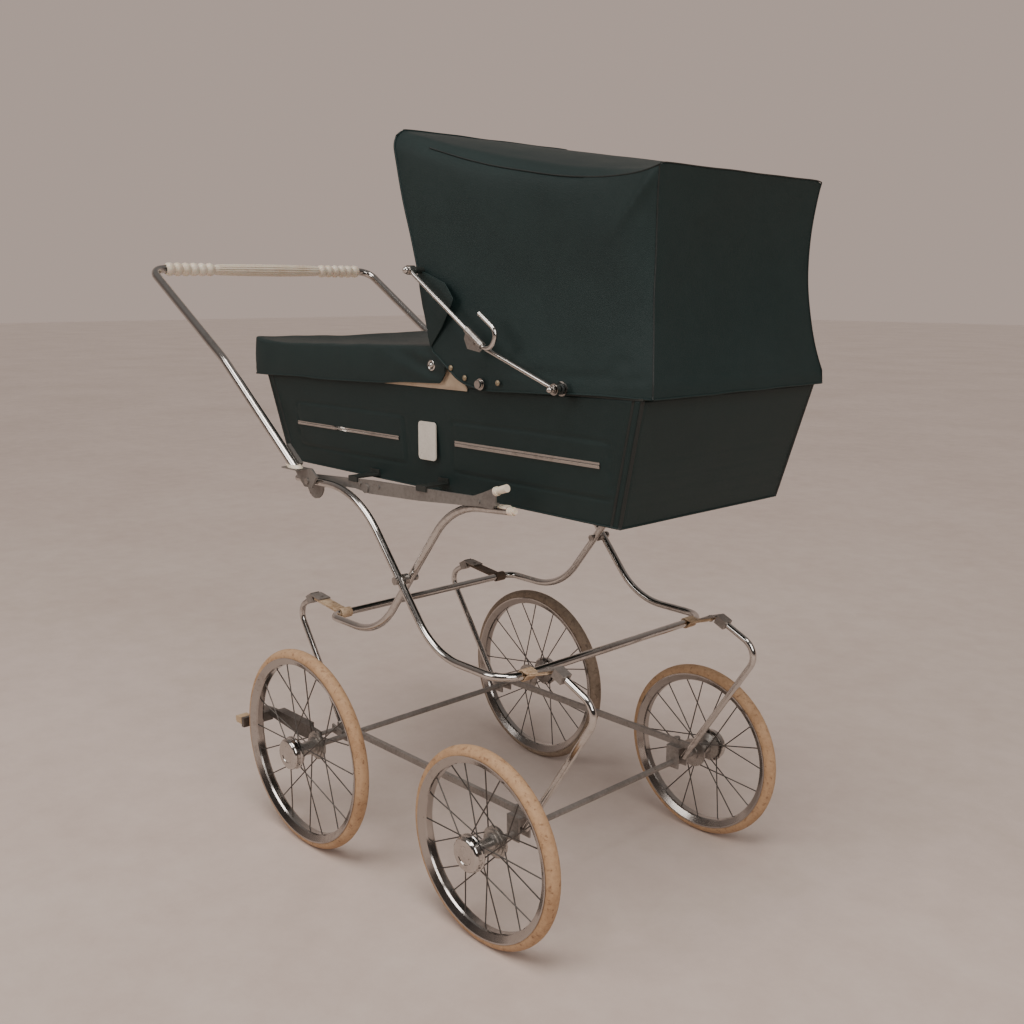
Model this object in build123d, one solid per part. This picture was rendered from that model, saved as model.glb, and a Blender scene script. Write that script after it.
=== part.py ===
"""Coach-built style baby pram: a lift-off cot with folding hood on a crossed-tube chassis.

All sizes are millimetres.  X points the way the pram is pushed (hood end), Y to the
pram's left, Z up from the floor.  Stations along the pram are given from the middle of
the wheelbase; X0 moves them to the part's own origin, under the middle of the whole pram.
"""

from build123d import *
from math import atan2, cos, degrees, hypot, pi, radians, sin, sqrt
import os

os.makedirs("parts", exist_ok=True)

# ---------------------------------------------------------------- driving dimensions
X0 = 149.15                 # wheelbase middle, ahead of the origin
SIDES = (-1, 1)             # right (-Y) and left (+Y)

WHEELBASE = 444.5
FRONT_WHEEL_R = 155.5
REAR_WHEEL_R = 178.0
FRONT_TRACK = 530.0         # wheel centre to wheel centre
REAR_TRACK = 570.0
SPOKES = 20
AXLE_R = 5.0
BEARING_GAP = 0.05          # running clearance of a shaft in its hole

FRONT_SPRING_Y = 193.0      # front C-springs and brackets, and the side bars
REAR_SPRING_Y = 187.0
SPRING_DIA = 11.0
BAR_Z = 190.0

FRAME_DIA = 12.7
OUTER_Y = 240.0             # outer U frame, side tubes
INNER_Y = 218.0             # inner U frame, side tubes
RAIL_Y = 229.0              # cot rails, between the two frames
RAIL_T = 3.0
CROSS = (-3.0, 518.0)       # where the two U frames are pinned together
FRONT_CROSS = (238.0, 412.5)
REAR_CROSS = (-232.0, 404.7)
RAIL_PIVOT = (-241.0, 648.0)

HANDLE_DIA = 16.0
HANDLE_Y = 262.0
HANDLE_FOOT = (-266.0, 676.0)
HANDLE_BEND = (-484.0, 844.0)
HANDLE_TOP = (-752.0, 1007.0)
GRIP_HALF = 232.0

COT_REAR, COT_FRONT = -440.0, 452.0           # at the rim
COT_FLOOR_REAR, COT_FLOOR_FRONT = -398.0, 405.0
COT_HALF_TOP, COT_HALF_FLOOR = 199.0, 184.0
RIM_REAR_Z, RIM_FRONT_Z = 819.0, 832.0
FLOOR_REAR_Z, FLOOR_FRONT_Z = 663.0, 656.0
SHELL_T = 3.0

APRON_REAR, APRON_FRONT = -476.0, 46.0
APRON_HALF = 206.0
APRON_TOP_Z, APRON_HEM_Z = 881.0, 824.0

HOOD_PIVOT = (160.0, 836.0)
BACK_FOOT = (322.0, 840.0)  # foot of the back bow and of the folding stay
STAY_JOINT = (165.0, 895.0)
STAY_TOP = (27.0, 998.0)
HOOD_FRONT_TOP = (-50.0, 206.0, 1209.0)       # x, half width, z
HOOD_FRONT_LOW = (62.0, 212.0, 833.0)
HOOD_BACK_TOP = (457.0, 184.0, 1122.0)
HOOD_BACK_LOW = (466.0, 199.0, 837.0)
HOOD_T = 2.5
BOW_DIA = 8.0
STAY_DIA = 7.0

PIN_R = 3.0                 # pivot pins of the folding frame


# ---------------------------------------------------------------- helpers
def at(x, y, z):
    """A point given from the wheelbase middle, in the part's own frame."""
    return Vector(x + X0, y, z)


def rod(start, end, diameter):
    """A straight round bar between two points."""
    run = end - start
    return Solid.make_cylinder(diameter / 2, run.length, Plane(origin=start, z_dir=run))


def tube(points, bend_radii, diameter):
    """A round bar bent along straight runs joined by arcs."""
    path = FilletPolyline(*points, radius=bend_radii)
    section = Plane(origin=path @ 0, z_dir=path % 0) * Circle(diameter / 2)
    return sweep(section, path=path)


def cross_pin(x, z, y_from, y_to, radius):
    """A round pin or hole along Y."""
    low, high = min(y_from, y_to), max(y_from, y_to)
    plane = Plane(origin=at(x, low, z), z_dir=(0, 1, 0))
    return Solid.make_cylinder(radius, high - low, plane)


def side_plate(points, y_from, y_to):
    """A flat plate standing in the XZ plane, from its (x, z) outline."""
    low, high = min(y_from, y_to), max(y_from, y_to)
    plane = Plane(origin=at(0, low, 0), x_dir=(1, 0, 0), z_dir=(0, -1, 0))
    face = plane * make_face(Polyline(*points, close=True))
    return extrude(face, amount=high - low, dir=(0, 1, 0))


def block(x_range, y_range, z_range):
    """A box from its three ranges."""
    size = [abs(r[1] - r[0]) for r in (x_range, y_range, z_range)]
    middle = at(*[(r[0] + r[1]) / 2 for r in (x_range, y_range, z_range)])
    return Pos(*middle) * Box(*size)


def line_plate(start, end, width, y_from, y_to, head=0.0, tail=0.0):
    """A straight bar in the XZ plane along a line, run on by tail and head past its ends."""
    dx, dz = end[0] - start[0], end[1] - start[1]
    length = hypot(dx, dz)
    ux, uz = dx / length, dz / length
    nx, nz = -uz * width / 2, ux * width / 2
    a = (start[0] - ux * tail, start[1] - uz * tail)
    b = (end[0] + ux * head, end[1] + uz * head)
    outline = [(a[0] + nx, a[1] + nz), (b[0] + nx, b[1] + nz),
               (b[0] - nx, b[1] - nz), (a[0] - nx, a[1] - nz)]
    return side_plate(outline, y_from, y_to)


def revolve_profile(points, y_centre, side, x, z):
    """Turn a closed (radius, outboard) outline about an axis along Y."""
    face = make_face(Polyline(*[(r, side * out) for r, out in points], close=True))
    solid = revolve(face, Axis.Y)
    return Pos(x + X0, y_centre, z) * solid


def save(name, *solids):
    """Write one sub-part, as one or more closed solids."""
    found = [s for item in solids for s in item.solids()]
    shape = found[0] if len(found) == 1 else Compound(children=found)
    shape.label = name
    export_step(shape, f"parts/{name}.step")


def rim_z(x):
    """Height of the cot's rim, which rises a little towards the hood."""
    return RIM_REAR_Z + (RIM_FRONT_Z - RIM_REAR_Z) * (x - COT_REAR) / (COT_FRONT - COT_REAR)


def floor_z(x):
    """Height of the underside of the cot."""
    share = (x - COT_FLOOR_REAR) / (COT_FLOOR_FRONT - COT_FLOOR_REAR)
    return FLOOR_REAR_Z + (FLOOR_FRONT_Z - FLOOR_REAR_Z) * share


def cot_half(z):
    """Half width of the cot's outer skin at a height."""
    floor, rim = (FLOOR_REAR_Z + FLOOR_FRONT_Z) / 2, (RIM_REAR_Z + RIM_FRONT_Z) / 2
    return COT_HALF_FLOOR + (COT_HALF_TOP - COT_HALF_FLOOR) * (z - floor) / (rim - floor)


# ---------------------------------------------------------------- wheels
HUB_OUT, HUB_IN = 26.0, -30.0       # hub ends, from the wheel's centre plane
FLANGE_OUT, FLANGE_IN = 20.0, -23.0
TYRE_R = 12.0
CAP_R = 29.0
CAP_FACE = HUB_OUT + 13.0          # the cap's outermost plane
CAP_ROLL = 6.0                      # radius of the cap's rolled edge
HUB_FLANGE_R = 25.0
SPOKE_CIRCLE_R = 20.0               # where the spokes start in the flanges


def wheel_tyre(radius, y, side, x):
    """Solid rubber tyre: a round section with a flat seat."""
    seat = radius - 18.8
    section = Pos(radius - TYRE_R, 0) * Circle(TYRE_R)
    section = section - Pos(seat - 10, 0) * Rectangle(20, 4 * TYRE_R)
    ring = revolve(section, Axis.Y)
    return Pos(x + X0, y, radius) * ring


def wheel_rim(radius, y, side, x):
    """Pressed channel rim with a deep well and two turned-out edges."""
    outline = [(radius - 13.5, -13.2), (radius - 13.5, -12.1), (radius - 16.2, -11.6),
               (radius - 19.0, -10.3), (radius - 19.0, 10.3), (radius - 16.2, 11.6),
               (radius - 13.5, 12.1), (radius - 13.5, 13.2),
               (radius - 16.0, 13.2), (radius - 25.5, 8.0), (radius - 27.0, 5.0),
               (radius - 27.0, -5.0), (radius - 25.5, -8.0), (radius - 16.0, -13.2)]
    return revolve_profile(outline, y, side, x, radius)


def wheel_spokes(radius, y, side, x):
    """Crossed pairs of wire spokes, every second one from the outer flange."""
    spokes = []
    rim_r, lean_angle = radius - 26.0, 50.0
    for i in range(SPOKES):
        flange = FLANGE_OUT if i % 2 == 0 else FLANGE_IN
        lean = lean_angle if (i // 2) % 2 == 0 else -lean_angle
        rim_angle = radians(i * 360 / SPOKES)
        hub_angle = rim_angle + radians(lean)
        centre = at(x, y, radius)
        start = centre + Vector(SPOKE_CIRCLE_R * cos(hub_angle), side * flange,
                                SPOKE_CIRCLE_R * sin(hub_angle))
        end = centre + Vector(rim_r * cos(rim_angle), side * flange * 0.12, rim_r * sin(rim_angle))
        spokes.append(rod(start, end, 2.2))
    return spokes


def wheel_hub(radius, y, side, x):
    """Turned hub barrel with two spoke flanges, the inner one stepped down to the barrel."""
    bore = AXLE_R + BEARING_GAP
    outline = [(bore, HUB_IN), (13.0, HUB_IN), (13.0, HUB_IN + 3),
               (HUB_FLANGE_R, FLANGE_IN - 2.5), (HUB_FLANGE_R, FLANGE_IN + 1.5),
               (21.0, FLANGE_IN + 2.5), (21.0, FLANGE_IN + 5), (16.5, FLANGE_IN + 6),
               (16.5, FLANGE_IN + 9), (12.5, FLANGE_IN + 11), (11.5, 0.0),
               (12.5, FLANGE_OUT - 7), (HUB_FLANGE_R - 1, FLANGE_OUT - 2),
               (HUB_FLANGE_R - 1, FLANGE_OUT + 2.5), (12.0, HUB_OUT), (bore, HUB_OUT)]
    return revolve_profile(outline, y, side, x, radius)


def wheel_cap(radius, y, side, x):
    """Drum-shaped push-on cap with a rolled edge and a sunk disc, over the axle's end."""
    back = FLANGE_OUT + 3.2
    wall = CAP_R - 1.5
    profile = [(12.4, HUB_OUT + 3.2), (12.4, back + 2.8), (CAP_R - 2.0, back),
               (CAP_R, back + 0.6), (CAP_R, back + 3.0), (wall, back + 4.0)]
    steps = 6
    for k in range(steps + 1):
        angle = (pi / 2) * k / steps
        profile.append((wall - CAP_ROLL * (1 - cos(angle)), CAP_FACE - CAP_ROLL * (1 - sin(angle))))
    profile += [(15.0, CAP_FACE), (13.8, CAP_FACE - 0.9), (0.0, CAP_FACE - 0.4),
                (0.0, HUB_OUT + 3.2)]
    return revolve_profile(profile, y, side, x, radius)


def build_wheels():
    """Four wheels, each of five separate pieces."""
    for end, x, radius, track in (("front", WHEELBASE / 2, FRONT_WHEEL_R, FRONT_TRACK),
                                  ("rear", -WHEELBASE / 2, REAR_WHEEL_R, REAR_TRACK)):
        for side, hand in zip(SIDES, ("right", "left")):
            y = side * track / 2
            name = f"{end}_{hand}"
            save(f"tyre_{name}", wheel_tyre(radius, y, side, x))
            save(f"rim_{name}", wheel_rim(radius, y, side, x))
            save(f"spokes_{name}", *wheel_spokes(radius, y, side, x))
            save(f"hub_{name}", wheel_hub(radius, y, side, x))
            save(f"hub_cap_{name}", wheel_cap(radius, y, side, x))


# ---------------------------------------------------------------- undercarriage
AXLES = ((WHEELBASE / 2, FRONT_WHEEL_R, FRONT_TRACK), (-WHEELBASE / 2, REAR_WHEEL_R, REAR_TRACK))
SPRING_Y = {1: FRONT_SPRING_Y, -1: REAR_SPRING_Y}
BRACKET_TOP = BAR_Z - 5.0
SPRING_TOPS = {1: (300.0, 433.5), -1: (-323.0, 416.5)}      # front, rear
STRAP_W = 22.0
STRAP_T = 5.0


def axles():
    """Two plain axle rods that carry the four hubs on their ends."""
    return [rod(at(x, -track / 2 - HUB_OUT - 1.5, z), at(x, track / 2 + HUB_OUT + 1.5, z),
                2 * AXLE_R) for x, z, track in AXLES]


def side_bar(side):
    """Long bar that ties the brackets together and carries the feet of the C-springs."""
    reach = WHEELBASE / 2 + 30
    y = side * FRONT_SPRING_Y
    return block((-reach, reach), (y - 4, y + 4), (BAR_Z - 5, BAR_Z + 5)) \
        - c_spring(1, side) - c_spring(-1, side)


def axle_bracket(end, side):
    """Bent sheet stirrup over the axle, open at its ends and below."""
    x, z, _ = AXLES[0] if end > 0 else AXLES[1]
    y = side * SPRING_Y[end]
    half, sheet, low = 13.0, 3.0, z - 10.0
    outer = block((x - half, x + half), (y - half, y + half), (low, BRACKET_TOP))
    gap = half - sheet
    inner = block((x - 2 * half, x + 2 * half), (y - gap, y + gap), (low - 1, BRACKET_TOP - sheet))
    return outer - inner - cross_pin(x, z, y - 40, y + 40, AXLE_R)


def spring_path(end):
    """Route of one C-spring in its own plane: up and out from the bracket, then back."""
    if end > 0:
        return [(238.0, 166.0), (385.0, 394.0), SPRING_TOPS[1]], 30.0
    return [(-237.0, 166.0), (-382.0, 383.0), SPRING_TOPS[-1]], 26.0


def c_spring(end, side):
    """One chromed C-spring rod."""
    route, bend = spring_path(end)
    points = [at(x, side * SPRING_Y[end], z) for x, z in route]
    return tube(points, [bend], SPRING_DIA)


def strap_frame(end):
    """The strap's ends, and its direction and its upward normal in the XZ plane."""
    cross = FRONT_CROSS if end > 0 else REAR_CROSS
    tip = SPRING_TOPS[end]
    length = hypot(tip[0] - cross[0], tip[1] - cross[1])
    ux, uz = (tip[0] - cross[0]) / length, (tip[1] - cross[1]) / length
    return cross, tip, (ux, uz), (-uz * end, ux * end)


def strap_rivet(end, side):
    """The rivet that holds a strap in its clip."""
    _, tip, (ux, uz), (nx, nz) = strap_frame(end)
    middle = at(tip[0] - ux * 17, side * SPRING_Y[end], tip[1] - uz * 17)
    up = Vector(nx, 0, nz)
    return rod(middle - up * 4.5, middle + up * 6.5, 6.0)


def spring_clip(end, side):
    """Steel socket on a spring's end, with a tongue over the strap and a rivet."""
    _, tip, (ux, uz), (nx, nz) = strap_frame(end)
    y = side * SPRING_Y[end]
    route, bend = spring_path(end)
    back = (route[1][0] - tip[0], route[1][1] - tip[1])
    reach = hypot(*back)
    seat = (tip[0] + back[0] / reach * 20, tip[1] + back[1] / reach * 20)
    spring = tube([at(x, y, z) for x, z in route], [bend], SPRING_DIA)
    socket = line_plate(tip, seat, 15.0, y - 9, y + 9) - spring
    lift = STRAP_T / 2 + 1.3
    ridge = (tip[0] + nx * lift, tip[1] + nz * lift)
    tongue_end = (ridge[0] - ux * 28, ridge[1] - uz * 28)
    tongue = line_plate(tongue_end, ridge, 2.4, y - 12, y + 12, head=2)
    return [socket + (tongue - spring), strap_rivet(end, side) - tongue]


def spring_strap(end, side):
    """Leather strap: a loop round the cross tube and a tail to the spring's clip."""
    cross, tip, (ux, uz), _ = strap_frame(end)
    y = side * SPRING_Y[end]
    low, high = y - STRAP_W / 2, y + STRAP_W / 2
    bore = FRAME_DIA / 2 + 0.3
    stop = (tip[0] - ux * 10, tip[1] - uz * 10)
    ring = cross_pin(*cross, low, high, bore + 3.0)
    tail = line_plate(cross, stop, STRAP_T, low, high)
    return ring + tail - cross_pin(*cross, low - 1, high + 1, bore) - strap_rivet(end, side)


def chassis_bolts():
    """Bolts that hold the side bars down on the axle brackets."""
    bolts = []
    for x, _, _ in AXLES:
        for side in SIDES:
            foot = at(x, side * FRONT_SPRING_Y, BAR_Z + 5)
            bolts.append(rod(foot, foot + Vector(0, 0, 4), 11))
    return bolts


BRAKE_PIVOT = (-250.0, 183.0)
BRAKE_Y = -240.0
BRAKE_SHOE_X = -407.0
BRAKE_ARM = [(-431, 188), (-431, 176), (-315, 165), (-290, 166), (-242, 176), (-242, 190),
             (-262, 192), (-395, 192)]


def brake_bracket():
    """Lug on the right rear bracket with the brake lever's pivot pin."""
    x, z = BRAKE_PIVOT
    outer = -(REAR_SPRING_Y + 13.0)
    lug = side_plate([(-229, 185), (x - 9, z + 8), (x - 9, z - 8), (-229, z - 10)], outer, outer - 4)
    return lug + cross_pin(x, z, outer, BRAKE_Y - 4.5, 4.0)


def brake_lever():
    """Brake arm behind the right rear wheel, with a shoe bar across the tyre."""
    x, z = BRAKE_PIVOT
    arm = side_plate(BRAKE_ARM, BRAKE_Y - 2.5, BRAKE_Y + 2.5)
    arm = arm - cross_pin(x, z, BRAKE_Y - 9, BRAKE_Y + 9, 4.0 + BEARING_GAP)
    shoe = block((BRAKE_SHOE_X - 8, BRAKE_SHOE_X), (BRAKE_Y + 2.5, -300), (166, 184))
    spring_box = block((-390, -290), (BRAKE_Y + 2.5, BRAKE_Y + 17.5), (170, 190))
    return arm + shoe + spring_box


def brake_pedal():
    """Plastic pedal on the end of the shoe bar."""
    pad = block((BRAKE_SHOE_X - 34, BRAKE_SHOE_X - 8.2), (-297, -276), (168, 181))
    return fillet(pad.edges().filter_by(Axis.Y), 4)


def build_undercarriage():
    """Axles, brackets, bars, springs, clips, straps and the brake."""
    ends = [(end, side) for end in (1, -1) for side in SIDES]
    save("axles", *axles())
    save("side_bars", *[side_bar(side) for side in SIDES])
    save("axle_brackets", *[axle_bracket(end, side) for end, side in ends])
    save("c_springs", *[c_spring(end, side) for end, side in ends])
    save("spring_clips", *[item for end, side in ends for item in spring_clip(end, side)])
    save("front_straps", *[spring_strap(1, side) for side in SIDES])
    save("rear_straps", *[spring_strap(-1, side) for side in SIDES])
    save("chassis_bolts", *chassis_bolts())
    save("brake_bracket", brake_bracket())
    save("brake_lever", brake_lever())
    save("brake_pedal", brake_pedal())


# ---------------------------------------------------------------- folding frame
OUTER_PROFILE = [(-285.0, 648.0), (-111.0, 648.0), (82.7, 415.0), FRONT_CROSS]
OUTER_BENDS = [170.0, 125.0]
OUTER_CORNER = 40.0
INNER_PROFILE = [(226.0, 660.0), (101.0, 651.5), (-92.0, 402.5), REAR_CROSS]
INNER_BENDS = [140.0, 130.0]
INNER_CORNER = 21.0


def u_frame(profile, bends, half, corner):
    """A tube bent to a U in plan: down one side, across, and back up the other."""
    right = [at(x, -half, z) for x, z in profile]
    left = [at(x, half, z) for x, z in reversed(profile)]
    radii = bends + [corner, corner] + bends[::-1]
    return tube(right + left, radii, FRAME_DIA)


def outer_frame():
    """The outer U frame, drilled for the pins of its four joints."""
    frame = u_frame(OUTER_PROFILE, OUTER_BENDS, OUTER_Y, OUTER_CORNER)
    for side in SIDES:
        for joint in (CROSS, RAIL_PIVOT):
            frame = frame - cross_pin(*joint, side * (OUTER_Y - 12), side * (OUTER_Y + 12), PIN_R)
    return frame


def inner_frame():
    """The inner U frame, with running holes for the two crossing pins."""
    frame = u_frame(INNER_PROFILE, INNER_BENDS, INNER_Y, INNER_CORNER)
    for side in SIDES:
        frame = frame - cross_pin(*CROSS, side * (INNER_Y - 12), side * (INNER_Y + 12),
                                  PIN_R + BEARING_GAP)
    return frame


def pivot_pins():
    """Crossing pins with their spacers and cap nuts, and the rail and handle pins."""
    pins = []
    outside = OUTER_Y + FRAME_DIA / 2
    for side in SIDES:
        crossing = cross_pin(*CROSS, side * (INNER_Y - 12), side * (outside + 2), PIN_R)
        spacer = cross_pin(*CROSS, side * (INNER_Y + 7), side * (OUTER_Y - 6.6), 8.5)
        cap = cross_pin(*CROSS, side * (outside + 0.1), side * (outside + 4.5), 6.5)
        tail = cross_pin(*CROSS, side * (INNER_Y - 7), side * (INNER_Y - 12), 5.5)
        pins.append(crossing + spacer + cap + tail)
        joint = cross_pin(*RAIL_PIVOT, side * (RAIL_Y - 4), side * (outside + 7.5), PIN_R)
        head = cross_pin(*RAIL_PIVOT, side * (outside + 5.3), side * (outside + 7.5), 5.5)
        tail = cross_pin(*RAIL_PIVOT, side * (RAIL_Y - 2.2), side * (RAIL_Y - 5.0), 5.5)
        pins.append(joint + head + tail)
    return pins


def frame_plugs():
    """Plastic plugs in the upper ends of the inner frame, with saddles on the tubes' tops."""
    plugs = []
    for side in SIDES:
        low, high = at(208, side * INNER_Y, 658.8), at(225, side * INNER_Y, 659.95)
        saddle = rod(low, high, 17) - rod(low - (high - low), high + (high - low), FRAME_DIA + 0.1)
        crown = block((200, 235), (side * (INNER_Y - 7), side * (INNER_Y + 7)), (663.5, 672))
        plugs.append(saddle & crown)
        start = at(226.2, side * INNER_Y, 660.0)
        plugs.append(rod(start, start + Vector(9, 0, 0.6), FRAME_DIA))
        plugs.append(rod(start + Vector(9.2, 0, 0.6), start + Vector(13, 0, 0.9), 9))
    return plugs


def cot_rail(side):
    """Flat rail between the frames, with a round lug under its rear pivot."""
    low, high = side * (RAIL_Y - RAIL_T / 2), side * (RAIL_Y + RAIL_T / 2)
    bar = side_plate([(-252, 641), (-252, 657), (-81, 667), (165, 675), (206, 677),
                      (206, 663), (37, 650), (-92, 644), (-130, 648), (-200, 645)], low, high)
    lug = cross_pin(-248, 639, low, high, 24.0) - block((-300, -200), (low, high), (651, 680))
    pin_hole = cross_pin(*RAIL_PIVOT, low - 9, high + 9, PIN_R + BEARING_GAP)
    lever_hole = cross_pin(*LATCH_PIVOT, low - 9, high + 9, PIN_R)
    return bar + lug - pin_hole - lever_hole


LATCH_PIVOT = (178.0, 668.5)


def rail_fittings():
    """Bosses and bolts on the rails, and the latch levers' pivot pins."""
    parts = []
    face = RAIL_Y + RAIL_T / 2
    for side in SIDES:
        parts.append(cross_pin(-101, 652, side * face, side * (face + 2.2), 8.0))
        for x in (-116, -66):
            parts.append(cross_pin(x, 658, side * face, side * (face + 2.0), 3.2))
        parts.append(cross_pin(*LATCH_PIVOT, side * (RAIL_Y - 4), side * (face + 4.6), PIN_R))
    return parts


def latch_lever(side):
    """Spring-steel catch that holds the inner frame's end under the rail."""
    near = side * (RAIL_Y + RAIL_T / 2 + 0.3)
    far = side * (RAIL_Y + RAIL_T / 2 + 2.8)
    outline = [(166, 662), (166, 676), (188, 684), (211, 693.5), (214.5, 683), (214, 672), (206, 662)]
    plate = side_plate(outline, near, far)
    finger = block((208, 214), (side * 225.9, far), (667.5, 671.5))
    hole = cross_pin(*LATCH_PIVOT, near - side * 9, far + side * 9, PIN_R + BEARING_GAP)
    return plate + finger - hole


def latch_knob(side):
    """Turned plastic knob on the catch."""
    start = at(212.9, side * (RAIL_Y + 3.05), 688.3)
    direction = Vector(0.95, 0, 0.316).normalized()
    collar = rod(start, start + direction * 5, 13.5)
    waist = rod(start + direction * 5, start + direction * 12, 9.5)
    head = rod(start + direction * 12, start + direction * 25, 11.5)
    return collar + waist + head


def build_frame():
    """Crossed U frames, rails and latches."""
    save("outer_frame", outer_frame())
    save("inner_frame", inner_frame())
    save("pivot_pins", *pivot_pins())
    save("frame_plugs", *frame_plugs())
    save("cot_rails", *[cot_rail(side) for side in SIDES])
    save("rail_fittings", *rail_fittings())
    for side, hand in zip(SIDES, ("right", "left")):
        save(f"latch_lever_{hand}", latch_lever(side))
        save(f"latch_knob_{hand}", latch_knob(side))


# ---------------------------------------------------------------- handle
def handle_direction():
    """Unit (x, z) along the lower run of the handle's side tubes."""
    dx, dz = HANDLE_BEND[0] - HANDLE_FOOT[0], HANDLE_BEND[1] - HANDLE_FOOT[1]
    length = hypot(dx, dz)
    return dx / length, dz / length


def handle_point(run):
    """The (x, z) of a point of the lower run's axis, this far up from the foot."""
    ux, uz = handle_direction()
    return HANDLE_FOOT[0] + run * ux, HANDLE_FOOT[1] + run * uz


def handle_tube():
    """One tube: up each side with a gentle bend, across under the grip, and cut level below."""
    profile = [handle_point(-12), HANDLE_BEND, HANDLE_TOP]
    right = [at(x, -HANDLE_Y, z) for x, z in profile]
    left = [at(x, HANDLE_Y, z) for x, z in reversed(profile)]
    bent = tube(right + left, [150.0, 28.0, 28.0, 150.0], HANDLE_DIA)
    below = (640, HANDLE_FOOT[1])
    for side in SIDES:
        bent = bent - block((-300, -220), (side * 240, side * 290), below)
    return bent


def handle_grip():
    """Moulded grip with beads at both ends and a swelling middle."""
    bore, neck, bead, pitch, beads = 8.1, 9.6, 12.3, 17.5, 6
    points = [(bore, -GRIP_HALF), (neck, -GRIP_HALF)]
    outline = []
    for k in range(beads):
        centre = GRIP_HALF - pitch * (k + 0.5)
        for share in (-0.4, -0.2, 0.0, 0.2, 0.4):
            swell = sqrt(1 - (2 * share) ** 2)
            outline.append((neck + (bead - neck) * swell, -centre + share * pitch))
        outline.append((neck, -centre + pitch / 2))
    middle = GRIP_HALF - beads * pitch
    swelling = [(10.8, -middle + 8), (11.8, -middle * 0.5), (12.3, 0.0)]
    half = points + outline + swelling
    mirrored = [(r, -y) for r, y in reversed(half[:-1])]
    grip = revolve(make_face(Polyline(*half, *mirrored, close=True)), Axis.Y)
    return Pos(HANDLE_TOP[0] + X0, 0, HANDLE_TOP[1]) * grip


def handle_plug(side):
    """Plastic wedge that closes the level end of a side tube."""
    high, low = [at(x, side * HANDLE_Y, z) for x, z in (handle_point(20), handle_point(-24))]
    tube_side = side * (HANDLE_Y - HANDLE_DIA / 2 + 0.1)
    return rod(high, low, 22) & block((-300, -220), (tube_side, side * 290),
                                      (HANDLE_FOOT[1] - 5, HANDLE_FOOT[1] - 0.05))


def handle_bracket(side):
    """Plate that carries the side tube and turns on the rail's pivot pin."""
    tube_side = side * (HANDLE_Y - HANDLE_DIA / 2 - 0.05)
    inner = side * (OUTER_Y + FRAME_DIA / 2 + 1.0)
    outer = inner + side * 4.0
    cheek = line_plate(handle_point(-6), handle_point(42), 14.0, inner, tube_side)
    link = side_plate([(-285, 670.9), (-228, 670.9), (-212, 659), (-228, 638), (-250, 638),
                       (-266, 652)], inner, outer)
    shelf = block((-285, -240), (inner, side * (HANDLE_Y + 11)),
                  (HANDLE_FOOT[1] - 7.5, HANDLE_FOOT[1] - 5.1))
    hole = cross_pin(*RAIL_PIVOT, inner - side * 9, tube_side + side * 9, PIN_R + BEARING_GAP)
    return cheek + link + shelf - hole


def build_handle():
    """Push handle."""
    save("handle_tube", handle_tube())
    save("handle_grip", handle_grip())
    save("handle_plugs", *[handle_plug(side) for side in SIDES])
    save("handle_brackets", *[handle_bracket(side) for side in SIDES])


# ---------------------------------------------------------------- cot
def rectangle_wire(x_rear, x_front, half, z_rear, z_front):
    """A four-cornered ring whose height changes evenly along the cot."""
    corners = [at(x_rear, -half, z_rear), at(x_front, -half, z_front),
               at(x_front, half, z_front), at(x_rear, half, z_rear)]
    return Wire.make_polygon(corners, close=True)


def tub(inset, floor_lift, rim_lift=0.0):
    """The cot's tapered box, drawn in by a wall thickness."""
    low = rectangle_wire(COT_FLOOR_REAR + inset, COT_FLOOR_FRONT - inset,
                         COT_HALF_FLOOR - inset,
                         floor_z(COT_FLOOR_REAR) + floor_lift, floor_z(COT_FLOOR_FRONT) + floor_lift)
    high = rectangle_wire(COT_REAR + inset, COT_FRONT - inset, COT_HALF_TOP - inset,
                          RIM_REAR_Z + rim_lift, RIM_FRONT_Z + rim_lift)
    return Solid.make_loft([low, high], ruled=True)


def cot_shell():
    """Vinyl-covered board box, open at the top."""
    return tub(0.0, 0.0) - tub(SHELL_T, SHELL_T, 0.01)


def cot_lining():
    """Padded lining with its own base, inside the shell."""
    gap = SHELL_T + 0.3
    return tub(gap, gap, -0.5) - tub(gap + 3.0, gap + 5.0, 0.01)


def cot_rim():
    """Steel rim frame laid on the shell's top edge."""
    slope = degrees(atan2(RIM_FRONT_Z - RIM_REAR_Z, COT_FRONT - COT_REAR))
    middle = at((COT_REAR + COT_FRONT) / 2, 0, (RIM_REAR_Z + RIM_FRONT_Z) / 2)
    plane = Plane(origin=middle, x_dir=(cos(radians(slope)), 0, sin(radians(slope))),
                  z_dir=(-sin(radians(slope)), 0, cos(radians(slope))))
    length, width, bar = COT_FRONT - COT_REAR + 1, 2 * COT_HALF_TOP + 1, 9.0
    ring = Rectangle(length, width) - Rectangle(length - 2 * bar, width - 2 * bar)
    return extrude(plane * ring, amount=3.2)


HOOK_X = (-134.0, 44.0)


def rail_top(x):
    """Height of the rails' upper edge."""
    return 667 + (x + 81) * 8 / 246 if x > -81 else 657 + (x + 252) * 10 / 171


def cot_hook(x, side):
    """Steel hook from the cot's side over the rail."""
    base = rail_top(x + 12) + 0.5
    wall = cot_half(base) - 2.0
    outer = RAIL_Y + RAIL_T / 2 + 2.2
    shelf = block((x - 12, x + 12), (side * wall, side * outer), (base, base + 3))
    lip = block((x - 12, x + 12), (side * (outer - 1.9), side * outer), (base - 6, base))
    ear = block((x - 12, x + 12), (side * wall, side * (cot_half(base + 10) + 2.0)),
                (base + 3, base + 10))
    return shelf + lip + ear - tub(-0.05, 0.0)


STRIPS = ((-353.0, -60.0, 735.0, 3.2), (79.0, 375.0, 740.0, 4.2))     # x range, z, half height


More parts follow.
